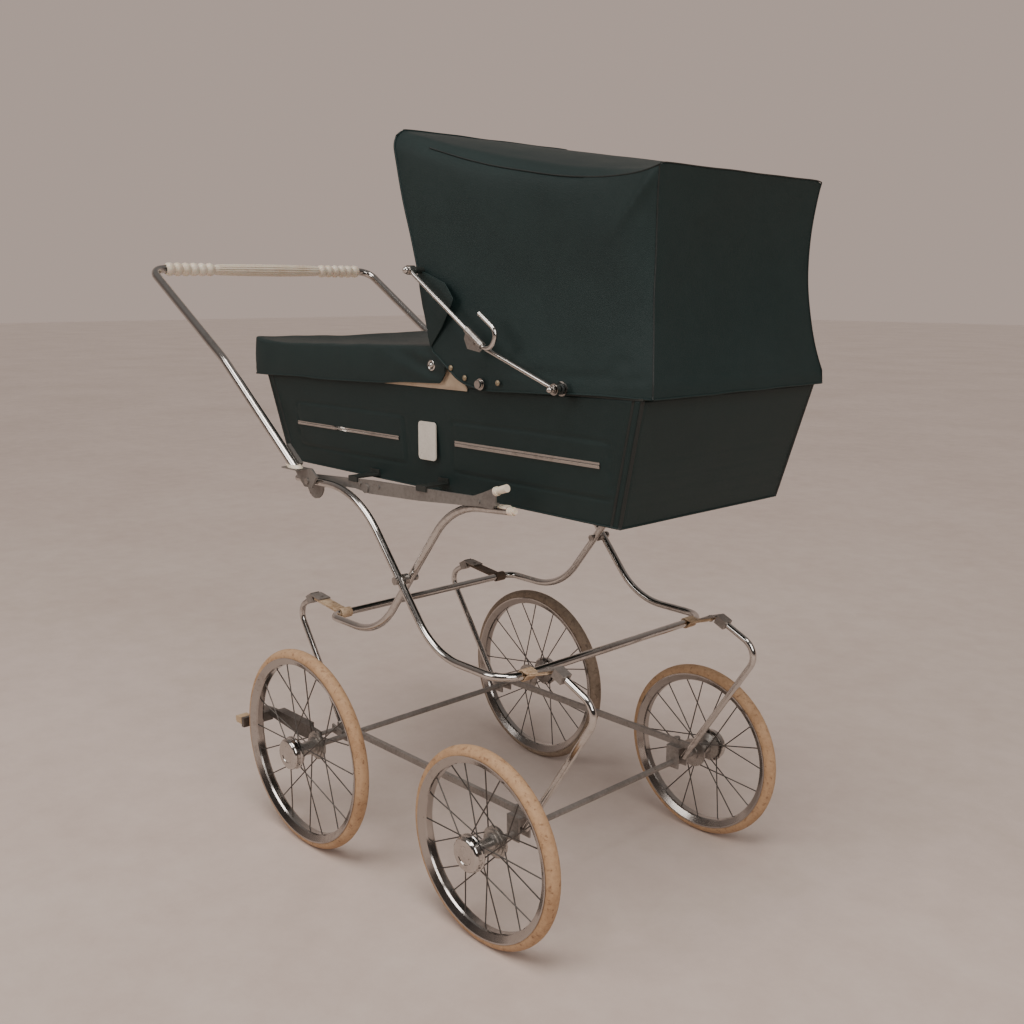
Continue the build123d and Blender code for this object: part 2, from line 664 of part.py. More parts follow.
def trim_strip(x_from, x_to, z, half, side):
    """Bright strip on the cot's side, following the wall's lean."""
    y = cot_half(z) + 1.6
    return rod(at(x_from, side * y, z), at(x_to, side * y, z), 3.0) + \
        block((x_from, x_to), (side * (y - 0.9), side * (y + 0.7)), (z - half, z + half))


def side_badge(side):
    """Plain pale plate between the strips."""
    z_low, z_high, half = 708.0, 768.0, 21.0
    y = cot_half(z_high) + 0.4
    plate = block((16 - half, 16 + half), (side * y, side * (y + 2.2)), (z_low, z_high))
    return fillet(plate.edges().filter_by(Axis.Y), 6)


def apron():
    """Foot cover: a shallow lid with a skirt that hangs outside the rim."""
    outer = block((APRON_REAR, APRON_FRONT), (-APRON_HALF, APRON_HALF), (APRON_HEM_Z, APRON_TOP_Z))
    outer = fillet(outer.edges().filter_by(Axis.X).group_by(Axis.Z)[-1], 8)
    inner = block((APRON_REAR + HOOD_T, APRON_FRONT + 9),
                  (-APRON_HALF + HOOD_T, APRON_HALF - HOOD_T),
                  (APRON_HEM_Z - 5, APRON_TOP_Z - HOOD_T))
    inner = fillet(inner.edges().filter_by(Axis.X).group_by(Axis.Z)[-1], 5.5)
    return outer - inner


# ---------------------------------------------------------------- hood
PLATE_Y = COT_HALF_TOP + 0.6        # inner face of the hood's hinge plates
BOW_Y = 203.6                       # feet of the bows
STUD_END = 240.0
LOWER_ARM_Y = 225.0
UPPER_ARM_Y = 234.0


def beyond(point, other, share):
    """A point pushed away from another by a share of the distance between them."""
    return point + (point - other) * share


def hood_block(inset):
    """Six-sided body of the hood, drawn in by a thickness and run out at its openings."""
    front_low, front_top, back_low, back_top = [
        at(x, half - inset, z) for x, half, z in
        (HOOD_FRONT_LOW, HOOD_FRONT_TOP, HOOD_BACK_LOW, HOOD_BACK_TOP)]
    if inset:
        back_low, back_top = back_low - Vector(inset, 0, 0), back_top - Vector(inset, 0, inset)
        front_top = front_top - Vector(0, 0, inset)
        front_low, front_top = beyond(front_low, back_low, 0.08), beyond(front_top, back_top, 0.06)
        front_low, back_low = beyond(front_low, front_top, 0.08), beyond(back_low, back_top, 0.08)
    rings = []
    for front, back in ((front_low, back_low), (front_top, back_top)):
        corners = [Vector(front.X, -front.Y, front.Z), Vector(back.X, -back.Y, back.Z), back, front]
        rings.append(Wire.make_polygon(corners, close=True))
    return Solid.make_loft(rings, ruled=True)


def hood_canopy():
    """The hood's stretched cover, open in front and below, cut back to its pivots."""
    cover = hood_block(0.0) - hood_block(HOOD_T)
    corner = side_plate([(20, 800), (20, 886), (49, 886), (100, 856), (140, 839), (140, 800)], -260, 260)
    cover = cover - corner - cross_pin(*STAY_TOP, -260, 260, 7.5)
    for foot in (HOOD_PIVOT, BACK_FOOT):
        cover = cover - cross_pin(*foot, -260, 260, 4.0)
    return cover


def back_bow():
    """Back bow, clamped by its feet on the rim."""
    inset = HOOD_T + BOW_DIA / 2 + 2.0
    top = (HOOD_BACK_TOP[0] - inset - 2, HOOD_BACK_TOP[2] - inset)
    half = HOOD_BACK_TOP[1] - inset
    foot_half = BOW_Y - BOW_DIA / 2 - 7.5
    points = [at(BACK_FOOT[0], -foot_half, BACK_FOOT[1] + 4), at(top[0], -half, top[1]),
              at(top[0], half, top[1]), at(BACK_FOOT[0], foot_half, BACK_FOOT[1] + 4)]
    return tube(points, [22.0, 22.0], BOW_DIA)


def hood_studs():
    """Hinge plates on the rim with the studs for the front bow and the stays."""
    parts = []
    for side in SIDES:
        z_plate = rim_z(240) + 4.5
        plate = side_plate([(138, z_plate), (138, 840.5), (180, 840.5), (196, 839), (300, 844), (306, 852),
                            (338, 852), (344, z_plate + 1.5)],
                           side * PLATE_Y, side * (PLATE_Y - 2.0))
        pivot = cross_pin(*HOOD_PIVOT, side * (PLATE_Y - 2.5), side * 220, 3.5)
        pivot_head = cross_pin(*HOOD_PIVOT, side * 215, side * 220, 6.0)
        washer = cross_pin(*HOOD_PIVOT, side * 213.0, side * 214.5, 8.5)
        foot = cross_pin(*BACK_FOOT, side * (PLATE_Y - 9.0), side * (STUD_END - 4.0), 3.5)
        collar = cross_pin(*BACK_FOOT, side * 211.0, side * 213.0, 10.0)
        stop = cross_pin(*BACK_FOOT, side * 229.5, side * 232.5, 5.6)
        knob = Pos(*at(BACK_FOOT[0], side * (STUD_END - 4.4), BACK_FOOT[1])) * Sphere(4.4)
        parts.append(plate + pivot + pivot_head + washer + foot + collar + stop + knob)
    return parts


def front_bow():
    """Front bow: flat feet on the pivots, legs kneed at the stays, and the top bar."""
    inset = HOOD_T + BOW_DIA / 2 + 1.2
    top = (HOOD_FRONT_TOP[0] + 6.5, HOOD_FRONT_TOP[2] - inset - 1.0)
    knee = (STAY_TOP[0] + 2, STAY_TOP[1])
    half_top = HOOD_FRONT_TOP[1] - inset
    half_knee = 208.6 - inset
    half_foot = BOW_Y - BOW_DIA / 2 - 2.0
    leg = [(HOOD_PIVOT[0] - 9, half_foot, HOOD_PIVOT[1] + 15), (knee[0], half_knee, knee[1]),
           (top[0], half_top, top[1])]
    right = [at(x, -y, z) for x, y, z in leg]
    left = [at(x, y, z) for x, y, z in reversed(leg)]
    bow = tube(right + left, [60.0, 24.0, 24.0, 60.0], BOW_DIA)
    for side in SIDES:
        eye = cross_pin(*HOOD_PIVOT, side * (PLATE_Y + 0.4), side * (PLATE_Y + 3.4), 9.0)
        link = line_plate(HOOD_PIVOT, (leg[0][0] - 5, leg[0][2] + 8), 9.0,
                          side * (half_foot - 1.0), side * (PLATE_Y + 3.4))
        boss = cross_pin(*STAY_TOP, side * (half_knee - 1), side * 226.3, 5.0)
        hole = cross_pin(*HOOD_PIVOT, side * 180, side * 212, 3.5 + BEARING_GAP)
        clear = cross_pin(*HOOD_PIVOT, side * 180, side * (PLATE_Y + 0.3), 12.0)
        bow = bow + (link - clear) + eye + boss - hole
    return bow


def stay_lower_arm(side):
    """Lower stay arm from the back foot's stud to the elbow."""
    start, end = BACK_FOOT, STAY_JOINT
    y = side * LOWER_ARM_Y
    length = hypot(end[0] - start[0], end[1] - start[1])
    ux, uz = (end[0] - start[0]) / length, (end[1] - start[1]) / length
    shaft = rod(at(start[0] + 8 * ux, y, start[1] + 8 * uz),
                at(end[0] - 6 * ux, y, end[1] - 6 * uz), STAY_DIA)
    arm = shaft + cross_pin(*start, y - 3, y + 3, 8.0) + cross_pin(*end, y - 3, y + 3, 8.0)
    for point, pin in ((start, 3.5), (end, 2.5)):
        arm = arm - cross_pin(*point, y - 9, y + 9, pin + BEARING_GAP)
    return arm


def stay_rod(side):
    """Upper stay rod: eye and ball at the top, straight run, and a J-shaped pull."""
    y = side * UPPER_ARM_Y
    ux, uz = stay_axis()
    top = (STAY_TOP[0] + 5 * ux, STAY_TOP[1] + 5 * uz)
    end = (STAY_TOP[0] + 208 * ux, STAY_TOP[1] + 208 * uz)
    nx, nz = -uz, ux
    turn = (end[0] + 34 * nx, end[1] + 34 * nz)
    tip = (turn[0] - 46 * ux, turn[1] - 46 * uz)
    route = [at(x, y, z) for x, z in (top, end, turn, tip)]
    shaft = tube(route, [15.0, 15.0], STAY_DIA)
    eye = cross_pin(*STAY_TOP, side * 226.8, side * (UPPER_ARM_Y + 4.2), 7.0)
    ball = Pos(*at(STAY_TOP[0], side * 241.0, STAY_TOP[1])) * Sphere(5.5)
    return shaft + eye + ball


def stay_axis():
    """Unit (x, z) down the upper stay rod, which passes just above the elbow."""
    joint = (STAY_JOINT[0] + 5, STAY_JOINT[1] + 9)
    dx, dz = joint[0] - STAY_TOP[0], joint[1] - STAY_TOP[1]
    length = hypot(dx, dz)
    return dx / length, dz / length


def stay_plate(side):
    """Sleeve round the stay rod, on a plate riveted to the lower arm's elbow."""
    y = side * UPPER_ARM_Y
    ux, uz = stay_axis()
    start = at(STAY_TOP[0] + 152 * ux, y, STAY_TOP[1] + 152 * uz)
    end = at(STAY_TOP[0] + 192 * ux, y, STAY_TOP[1] + 192 * uz)
    sleeve = rod(start, end, 10.4)
    x, z = STAY_JOINT
    outline = [(x - 16, z + 20), (x - 21, z + 6), (x - 14, z - 8), (x + 12, z - 12), (x + 24, z - 3),
               (x + 21, z + 2)]
    plate = side_plate(outline, side * (LOWER_ARM_Y + 3.7), side * (UPPER_ARM_Y - 3.8))
    rivet = cross_pin(x, z, side * (LOWER_ARM_Y - 4), side * (UPPER_ARM_Y - 1.5), 2.5)
    head = cross_pin(x, z, side * (LOWER_ARM_Y - 3.4), side * (LOWER_ARM_Y - 5), 4.5)
    return (sleeve + plate + rivet + head) - rod(start - (end - start), end + (end - start), STAY_DIA)


def build_cot_and_hood():
    """Lift-off cot, foot cover and folding hood."""
    save("cot_shell", cot_shell())
    save("cot_lining", cot_lining())
    save("cot_rim", cot_rim())
    save("cot_hooks", *[cot_hook(x, side) for x in HOOK_X for side in SIDES])
    save("trim_strips", *[trim_strip(*strip, side) for strip in STRIPS for side in SIDES])
    save("side_badges", *[side_badge(side) for side in SIDES])
    save("apron", apron())
    save("hood_canopy", hood_canopy())
    save("back_bow", back_bow())
    save("hood_studs", *hood_studs())
    save("front_bow", front_bow())
    save("stay_lower_arms", *[stay_lower_arm(side) for side in SIDES])
    save("stay_rods", *[stay_rod(side) for side in SIDES])
    save("stay_plates", *[stay_plate(side) for side in SIDES])


build_wheels()
build_undercarriage()
build_frame()
build_handle()
build_cot_and_hood()
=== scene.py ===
"""Looks of the coach-built pram: soft goods, grip, straps and the finish of every part.

Points are written in millimetres from the middle of the wheelbase, as in the CAD, and at()
turns them into the row frame in metres.
"""
from contextlib import contextmanager
from math import cos, exp, hypot, pi, radians, sin

import bmesh
import bpy
from mathutils import Euler, Matrix, Vector, noise


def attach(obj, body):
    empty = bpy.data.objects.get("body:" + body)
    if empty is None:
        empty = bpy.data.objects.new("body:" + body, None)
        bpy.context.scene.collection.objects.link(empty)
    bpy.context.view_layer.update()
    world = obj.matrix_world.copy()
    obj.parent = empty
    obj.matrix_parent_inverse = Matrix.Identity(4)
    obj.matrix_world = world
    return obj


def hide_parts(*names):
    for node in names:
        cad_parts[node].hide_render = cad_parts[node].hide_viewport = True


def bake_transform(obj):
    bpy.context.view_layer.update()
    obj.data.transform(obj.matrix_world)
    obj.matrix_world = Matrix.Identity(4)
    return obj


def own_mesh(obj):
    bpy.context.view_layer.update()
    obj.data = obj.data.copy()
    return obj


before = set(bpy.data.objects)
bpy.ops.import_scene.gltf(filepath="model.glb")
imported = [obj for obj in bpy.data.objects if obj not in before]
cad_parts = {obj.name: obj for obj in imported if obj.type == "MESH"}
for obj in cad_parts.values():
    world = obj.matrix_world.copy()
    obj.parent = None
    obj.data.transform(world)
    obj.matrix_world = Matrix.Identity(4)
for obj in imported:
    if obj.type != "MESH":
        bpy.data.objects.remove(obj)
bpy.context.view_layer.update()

# ------------------------------------------------------------------ dimensions, mm
X0 = 149.15  # from the middle of the wheelbase back to the row frame's origin
SIDES = (-1, 1)  # right, left

COT_REAR, COT_FRONT = -440.0, 452.0
FLOOR_REAR, FLOOR_FRONT = -398.0, 405.0
COT_HALF_TOP, COT_HALF_FLOOR = 199.0, 184.0
RIM_REAR_Z, RIM_FRONT_Z = 819.0, 832.0
FLOOR_REAR_Z, FLOOR_FRONT_Z = 663.0, 656.0

HANDLE_TOP = (-752.0, 1007.0)
GRIP_HALF = 232.0
BEAD_PITCH, BEADS = 17.5, 6
BEAD_ROOT, BEAD_RISE = 9.1, 4.3
GRIP_SHOULDER, GRIP_SWELL = 1.6, 1.7
FLUTES, FLUTE_DEPTH = 14, 1.5

BACK_FOOT = (322.0, 840.0)

FRONT_CROSS, REAR_CROSS = (238.0, 412.5), (-232.0, 404.7)
SPRING_TOPS = {1: (300.0, 433.5), -1: (-323.0, 416.5)}
SPRING_Y = {1: 193.0, -1: 187.0}
STRAP_W, STRAP_T = 22.0, 2.4
STRAP_LIFT = STRAP_T / 2 + 0.05
CLIP_END = 10.0
TUBE_R = 6.35


def at(x, y, z):
    """A point in millimetres from the wheelbase middle, in the row frame in metres."""
    return Vector(((x + X0) / 1000, y / 1000, z / 1000))


def side_name(side):
    """The word for a side, as the pieces' names say it."""
    return "left" if side > 0 else "right"


def held(value):
    """Keep a share between 0 and 1."""
    return min(max(value, 0.0), 1.0)


# ------------------------------------------------------------------ materials
FINE_WEAR = 9.0
GLOSS_SPAN = (0.3, 0.7)
DENT_SCALE = 14.0


def node(tree, kind, inputs=(), **settings):
    """Add a shader node, with its settings and input values or links."""
    made = tree.nodes.new(kind)
    for key, value in settings.items():
        setattr(made, key, value)
    for key, value in dict(inputs).items():
        if isinstance(value, bpy.types.NodeSocket):
            tree.links.new(value, made.inputs[key])
        else:
            made.inputs[key].default_value = value
    return made


def noise_of(tree, coords, scale, detail=5.0, roughness=0.6):
    """Fractal noise, from 0 to 1."""
    made = node(tree, "ShaderNodeTexNoise",
                {"Vector": coords, "Scale": scale, "Detail": detail, "Roughness": roughness})
    return made.outputs["Fac"]


def between(tree, value, low, high, to_low=0.0, to_high=1.0):
    """Map a value's range onto another, held at its ends."""
    made = node(tree, "ShaderNodeMapRange",
                {"Value": value, "From Min": low, "From Max": high,
                 "To Min": to_low, "To Max": to_high})
    return made.outputs["Result"]


def mixed(tree, share, first, second, blend="MIX"):
    """Mix two colours, each a socket or three numbers."""
    made = node(tree, "ShaderNodeMix", data_type="RGBA", blend_type=blend)
    for socket, value in ((made.inputs[0], share), (made.inputs[6], first), (made.inputs[7], second)):
        if isinstance(value, bpy.types.NodeSocket):
            tree.links.new(value, socket)
        elif isinstance(value, float):
            socket.default_value = value
        else:
            socket.default_value = (*value, 1.0)
    return made.outputs[2]


def grain_of(tree, coords, grain, scale):
    """Height of a surface's fine texture: leather cells, woven threads, brushing or grit."""
    if grain == "leather":
        cells = node(tree, "ShaderNodeTexVoronoi", {"Vector": coords, "Scale": scale},
                     feature="DISTANCE_TO_EDGE")
        return between(tree, cells.outputs["Distance"], 0.0, 0.25)
    if grain == "weave":
        threads = []
        for direction in ("X", "Z"):
            wave = node(tree, "ShaderNodeTexWave", {"Vector": coords, "Scale": scale},
                        wave_type="BANDS", bands_direction=direction, wave_profile="SIN")
            threads.append(wave.outputs["Fac"])
        top = node(tree, "ShaderNodeMath", {0: threads[0], 1: threads[1]}, operation="MAXIMUM")
        return top.outputs[0]
    if grain == "brushed":
        squeezed = node(tree, "ShaderNodeMapping", {"Vector": coords, "Scale": (1.0, 12.0, 12.0)})
        return noise_of(tree, squeezed.outputs["Vector"], scale, 3.0)
    return noise_of(tree, coords, scale, 6.0, 0.7)


def surface(name, base, worn, wear=(0.45, 0.7), wear_scale=9.0, roughness=(0.4, 0.6),
            metallic=0.0, grain="grit", grain_scale=400.0, depth=0.0001, speck=None,
            speck_scale=60.0, speck_at=(0.62, 0.72), dents=0.0, **sockets):
    """A finish: a base colour that wears to a second one, specks, uneven gloss and a bumpy grain."""
    material = bpy.data.materials.new(name)
    material.use_nodes = True
    tree = material.node_tree
    tree.nodes.clear()
    coords = node(tree, "ShaderNodeTexCoord").outputs["Object"]
    patches = noise_of(tree, coords, wear_scale)
    fine = noise_of(tree, coords, wear_scale * FINE_WEAR, 6.0, 0.7)
    share = node(tree, "ShaderNodeMath", {0: patches, 1: fine}, operation="ADD")
    half = node(tree, "ShaderNodeMath", {0: share.outputs[0], 1: 0.5}, operation="MULTIPLY").outputs[0]
    colour = mixed(tree, between(tree, half, *wear), base, worn)
    if speck:
        spots = noise_of(tree, coords, speck_scale, 3.0, 0.65)
        colour = mixed(tree, between(tree, spots, *speck_at), colour, speck)
    height = grain_of(tree, coords, grain, grain_scale)
    bump = node(tree, "ShaderNodeBump", {"Height": height, "Distance": depth, "Strength": 1.0})
    normal = bump.outputs["Normal"]
    if dents:
        waves = noise_of(tree, coords, DENT_SCALE, 2.0, 0.5)
        normal = node(tree, "ShaderNodeBump",
                      {"Height": waves, "Distance": dents, "Strength": 1.0,
                       "Normal": normal}).outputs["Normal"]
    gloss = between(tree, half, *GLOSS_SPAN, *roughness)
    shader = node(tree, "ShaderNodeBsdfPrincipled",
                  {"Base Color": colour, "Roughness": gloss, "Metallic": metallic,
                   "Normal": normal, **sockets})
    node(tree, "ShaderNodeOutputMaterial", {"Surface": shader.outputs["BSDF"]})
    return material


VINYL = surface("green_vinyl", (0.0095, 0.0212, 0.0208), (0.0145, 0.0282, 0.0272),
                wear=(0.40, 0.72), wear_scale=5.0, roughness=(0.44, 0.56), grain="leather",
                grain_scale=620.0, depth=0.00014, dents=0.0008, **{"Specular IOR Level": 0.27})
VINYL_EDGE = surface("vinyl_welt", (0.0060, 0.0100, 0.0092), (0.012, 0.016, 0.014), wear_scale=20.0,
                     roughness=(0.46, 0.62), grain_scale=900.0, depth=0.00008)
BACKING = surface("hood_backing", (0.030, 0.040, 0.034), (0.045, 0.052, 0.044), wear_scale=8.0,
                  roughness=(0.80, 0.95), grain="weave", grain_scale=320.0, depth=0.0002)
LINING = surface("cream_lining", (0.60, 0.475, 0.345), (0.47, 0.35, 0.235), wear=(0.42, 0.66),
                 wear_scale=7.0, roughness=(0.80, 0.95), grain="weave", grain_scale=260.0,
                 depth=0.0003, **{"Sheen Weight": 0.25})
TYRE = surface("tan_rubber", (0.49, 0.310, 0.175), (0.37, 0.215, 0.112), wear=(0.42, 0.62),
               wear_scale=16.0, roughness=(0.62, 0.85), grain_scale=260.0, depth=0.0006,
               speck=(0.23, 0.120, 0.060), speck_scale=130.0, speck_at=(0.56, 0.71))
TYRE_GREY = surface("grey_rubber", (0.29, 0.215, 0.155), (0.19, 0.138, 0.098), wear=(0.42, 0.62),
                    wear_scale=16.0, roughness=(0.70, 0.9), grain_scale=260.0, depth=0.0006,
                    speck=(0.12, 0.08, 0.055), speck_scale=130.0, speck_at=(0.56, 0.71))
CHROME = surface("chrome", (0.56, 0.535, 0.51), (0.34, 0.31, 0.285), wear=(0.50, 0.70),
                 wear_scale=14.0, roughness=(0.07, 0.16), metallic=1.0, grain_scale=500.0,
                 depth=0.00001, speck=(0.10, 0.075, 0.06), speck_scale=230.0, speck_at=(0.68, 0.76))
CAP_CHROME = surface("cap_chrome", (0.55, 0.525, 0.50), (0.37, 0.34, 0.315), wear=(0.52, 0.72),
                     wear_scale=26.0, roughness=(0.06, 0.14), metallic=1.0, grain_scale=500.0,
                     depth=0.00001, speck=(0.16, 0.12, 0.10), speck_scale=200.0,
                     speck_at=(0.66, 0.76), dents=0.0009)
RIM_CHROME = surface("rim_chrome", (0.44, 0.41, 0.385), (0.27, 0.235, 0.21), wear=(0.54, 0.72),
                     wear_scale=12.0, roughness=(0.10, 0.22), metallic=1.0, grain_scale=500.0,
                     depth=0.00001, speck=(0.13, 0.09, 0.065), speck_scale=170.0,
                     speck_at=(0.66, 0.76))
DULL_STEEL = surface("dull_steel", (0.30, 0.272, 0.25), (0.185, 0.16, 0.142), wear=(0.44, 0.66),
                     wear_scale=18.0, roughness=(0.38, 0.56), metallic=0.6, grain_scale=420.0,
                     depth=0.00006, speck=(0.12, 0.08, 0.055), speck_scale=110.0,
                     speck_at=(0.66, 0.76))
DARK_STEEL = surface("dark_steel", (0.135, 0.12, 0.108), (0.075, 0.062, 0.053), wear=(0.44, 0.66),
                     wear_scale=30.0, roughness=(0.36, 0.56), metallic=0.6, grain_scale=420.0,
                     depth=0.00006, speck=(0.24, 0.20, 0.16), speck_scale=140.0,
                     speck_at=(0.66, 0.76))
ZINC = surface("zinc_plate", (0.27, 0.253, 0.236), (0.18, 0.162, 0.148), wear=(0.46, 0.68),
               wear_scale=16.0, roughness=(0.34, 0.50), metallic=0.7, grain="brushed",
               grain_scale=160.0, depth=0.00004, speck=(0.14, 0.105, 0.08), speck_scale=120.0,
               speck_at=(0.66, 0.76))
HUB_STEEL = surface("hub_steel", (0.40, 0.375, 0.35), (0.25, 0.225, 0.205), wear=(0.46, 0.66),
                    wear_scale=26.0, roughness=(0.22, 0.38), metallic=0.9, grain_scale=500.0,
                    depth=0.00003, speck=(0.14, 0.105, 0.08), speck_scale=160.0,
                    speck_at=(0.66, 0.76))
SPOKE = surface("spoke_wire", (0.10, 0.09, 0.082), (0.20, 0.18, 0.165), wear=(0.5, 0.7),
                wear_scale=24.0, roughness=(0.35, 0.55), metallic=0.8, grain_scale=500.0,
                depth=0.00004)
ENAMEL = surface("dark_enamel", (0.012, 0.016, 0.014), (0.03, 0.032, 0.028), wear_scale=20.0,
                 roughness=(0.35, 0.55), grain_scale=420.0, depth=0.00004)
CREAM = surface("cream_plastic", (0.80, 0.71, 0.585), (0.68, 0.57, 0.43), wear=(0.45, 0.68),
                wear_scale=22.0, roughness=(0.28, 0.42), grain_scale=300.0, depth=0.00006,
                speck=(0.40, 0.28, 0.18), speck_scale=150.0, speck_at=(0.68, 0.78),
                **{"Subsurface Weight": 0.08, "Subsurface Scale": 0.004})
PEDAL = surface("tan_pedal", (0.50, 0.36, 0.22), (0.34, 0.22, 0.12), wear_scale=26.0,
                roughness=(0.45, 0.62), grain_scale=300.0, depth=0.00012)
PALE_PLATE = surface("pale_plate", (0.66, 0.62, 0.55), (0.53, 0.48, 0.41), wear_scale=26.0,
                     roughness=(0.30, 0.45), grain_scale=320.0, depth=0.00005,
                     speck=(0.32, 0.28, 0.22), speck_scale=170.0, speck_at=(0.68, 0.76))
LEATHER = surface("strap_leather", (0.58, 0.43, 0.285), (0.34, 0.215, 0.12), wear=(0.44, 0.62),
                  wear_scale=38.0, roughness=(0.60, 0.85), grain="leather", grain_scale=900.0,
                  depth=0.00022, speck=(0.12, 0.065, 0.035), speck_scale=130.0,
                  speck_at=(0.60, 0.74))
DARK_LEATHER = surface("dark_strap_leather", (0.155, 0.105, 0.072), (0.08, 0.052, 0.036),
                       wear_scale=38.0, roughness=(0.60, 0.85), grain="leather",
                       grain_scale=900.0, depth=0.00022)
BRASS = surface("brass", (0.34, 0.275, 0.185), (0.20, 0.15, 0.09), wear=(0.42, 0.60),
                wear_scale=60.0, roughness=(0.38, 0.56), metallic=0.6, grain_scale=600.0,
                depth=0.00004)
FLOOR = surface("floor", (0.60, 0.50, 0.445), (0.52, 0.42, 0.365), wear=(0.40, 0.66),
                wear_scale=1.3, roughness=(0.60, 0.80), grain_scale=60.0, depth=0.0003)

CAD_FINISH = {
    "axles": DULL_STEEL, "axle_brackets": DULL_STEEL, "side_bars": DULL_STEEL,
    "brake_bracket": DULL_STEEL, "brake_lever": DARK_STEEL, "chassis_bolts": ZINC,
    "spring_clips": DULL_STEEL, "pivot_pins": HUB_STEEL, "rail_fittings": ZINC, "cot_rails": ZINC,
    "cot_hooks": ENAMEL, "handle_brackets": ZINC, "latch_lever": ZINC, "latch_knob": CREAM,
    "frame_plugs": CREAM, "handle_plugs": CREAM, "brake_pedal": PEDAL,
    "c_springs": CHROME, "outer_frame": CHROME, "inner_frame": CHROME, "handle_tube": CHROME,
    "hood_studs": CHROME, "stay_lower_arms": CHROME, "stay_rods": CHROME,
    "stay_plates": HUB_STEEL, "front_bow": ENAMEL, "back_bow": ENAMEL, "cot_rim": ENAMEL,
    "trim_strips": CHROME, "side_badges": PALE_PLATE, "tyre_rear_left": TYRE_GREY, "tyre": TYRE,
    "rim": RIM_CHROME, "spokes": SPOKE, "hub_cap": CAP_CHROME, "hub": HUB_STEEL,
}


def finish_cad_nodes():
    """Give every CAD node its finish, by the longest key that its name starts with."""
    for name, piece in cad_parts.items():
        fitting = [key for key in CAD_FINISH if name.startswith(key)]
        if fitting:
            piece.data.materials.clear()
            piece.data.materials.append(CAD_FINISH[max(fitting, key=len)])


# ------------------------------------------------------------------ mesh helpers
def mesh_object(name, points, faces, material, smooth=True):
    """A mesh object from points in metres."""
    mesh = bpy.data.meshes.new(name)
    mesh.from_pydata([tuple(p) for p in points], [], faces)
    mesh.validate()
    mesh.polygons.foreach_set("use_smooth", [smooth] * len(mesh.polygons))
    mesh.materials.append(material)
    made = bpy.data.objects.new(name, mesh)
    bpy.context.collection.objects.link(made)
    return made


@contextmanager
def editing(piece):
    """Open a piece's mesh for editing, and write it back afterwards."""
    mesh = bmesh.new()
    mesh.from_mesh(piece.data)
    yield mesh
    mesh.to_mesh(piece.data)
    mesh.free()


def grid_faces(rows, columns, first=0, wrap_rows=False, wrap_columns=False):
    """Quads of a grid whose points are listed row by row."""
    faces = []
    for i in range(rows if wrap_rows else rows - 1):
        for j in range(columns if wrap_columns else columns - 1):
            a, b = i * columns + j, i * columns + (j + 1) % columns
            c, d = ((i + 1) % rows) * columns + (j + 1) % columns, ((i + 1) % rows) * columns + j
            faces.append((first + a, first + b, first + c, first + d))
    return faces


def end_caps(total, sides):
    """Faces that close both ends of a sweep, which has this many points in all."""
    return [tuple(range(sides)), tuple(range(total - 1, total - 1 - sides, -1))]


def settle(piece, *modifiers):
    """Add modifiers, given as (type, settings), and apply them all to the mesh."""
    for kind, settings in modifiers:
        added = piece.modifiers.new(kind.lower(), kind)
        for key, value in settings.items():
            setattr(added, key, value)
    graph = bpy.context.evaluated_depsgraph_get()
    graph.update()
    mesh = bpy.data.meshes.new_from_object(piece.evaluated_get(graph))
    piece.modifiers.clear()
    piece.data = mesh
    return piece


def spline(points, t):
    """Point at share t of the way along a smooth curve through the given points."""
    knots = [Vector(p) for p in points]
    lengths = [0.0]
    for a, b in zip(knots, knots[1:]):
        lengths.append(lengths[-1] + (b - a).length)
    goal = min(max(t, 0.0), 1.0) * lengths[-1]
    k = next((i for i in range(1, len(knots)) if lengths[i] >= goal), len(knots) - 1)
    share = (goal - lengths[k - 1]) / max(lengths[k] - lengths[k - 1], 1e-9)
    p1, p2 = knots[k - 1], knots[k]
    p0 = knots[k - 2] if k > 1 else p1 * 2 - p2
    p3 = knots[k + 1] if k + 1 < len(knots) else p2 * 2 - p1
    s2, s3 = share * share, share ** 3
    return 0.5 * (2 * p1 + (p2 - p0) * share + (2 * p0 - 5 * p1 + 4 * p2 - p3) * s2
                  + (3 * p1 - p0 - 3 * p2 + p3) * s3)


def tube_geometry(path, radius, sides=10, closed=False):
    """Points and faces of a round tube along a list of points in metres."""
    count = len(path)
    points = []
    normal = None
    for i, centre in enumerate(path):
        ahead = path[(i + 1) % count] if closed or i + 1 < count else path[i]
        behind = path[i - 1] if closed or i else path[i]
        along = (ahead - behind).normalized()
        if normal is None:
            normal = along.orthogonal().normalized()
        normal = (normal - along * normal.dot(along)).normalized()
        other = along.cross(normal)
        for j in range(sides):
            angle = 2 * pi * j / sides
            points.append(centre + (normal * cos(angle) + other * sin(angle)) * radius)
    faces = grid_faces(count, sides, wrap_rows=closed, wrap_columns=True)
    if not closed:
        faces += end_caps(len(points), sides)
    return points, faces


def tubes(name, paths, radius, material, sides=10):
    """One object of several round tubes."""
    points, faces = [], []
    for path in paths:
        more, quads = tube_geometry(path, radius, sides)
        faces += [tuple(len(points) + k for k in quad) for quad in quads]
        points += more
    return mesh_object(name, points, faces, material)


def turned(name, profile, centre, axis, material, sides=24):
    """A round piece turned from (along, radius) pairs about an axis through a point in metres."""
    axis = Vector(axis).normalized()
    u = axis.orthogonal().normalized()
    v = axis.cross(u)
    points = []
    for along, radius in profile:
        for j in range(sides):
            angle = 2 * pi * j / sides
            points.append(centre + axis * along + (u * cos(angle) + v * sin(angle)) * radius)
    return mesh_object(name, points, grid_faces(len(profile), sides, wrap_columns=True), material)


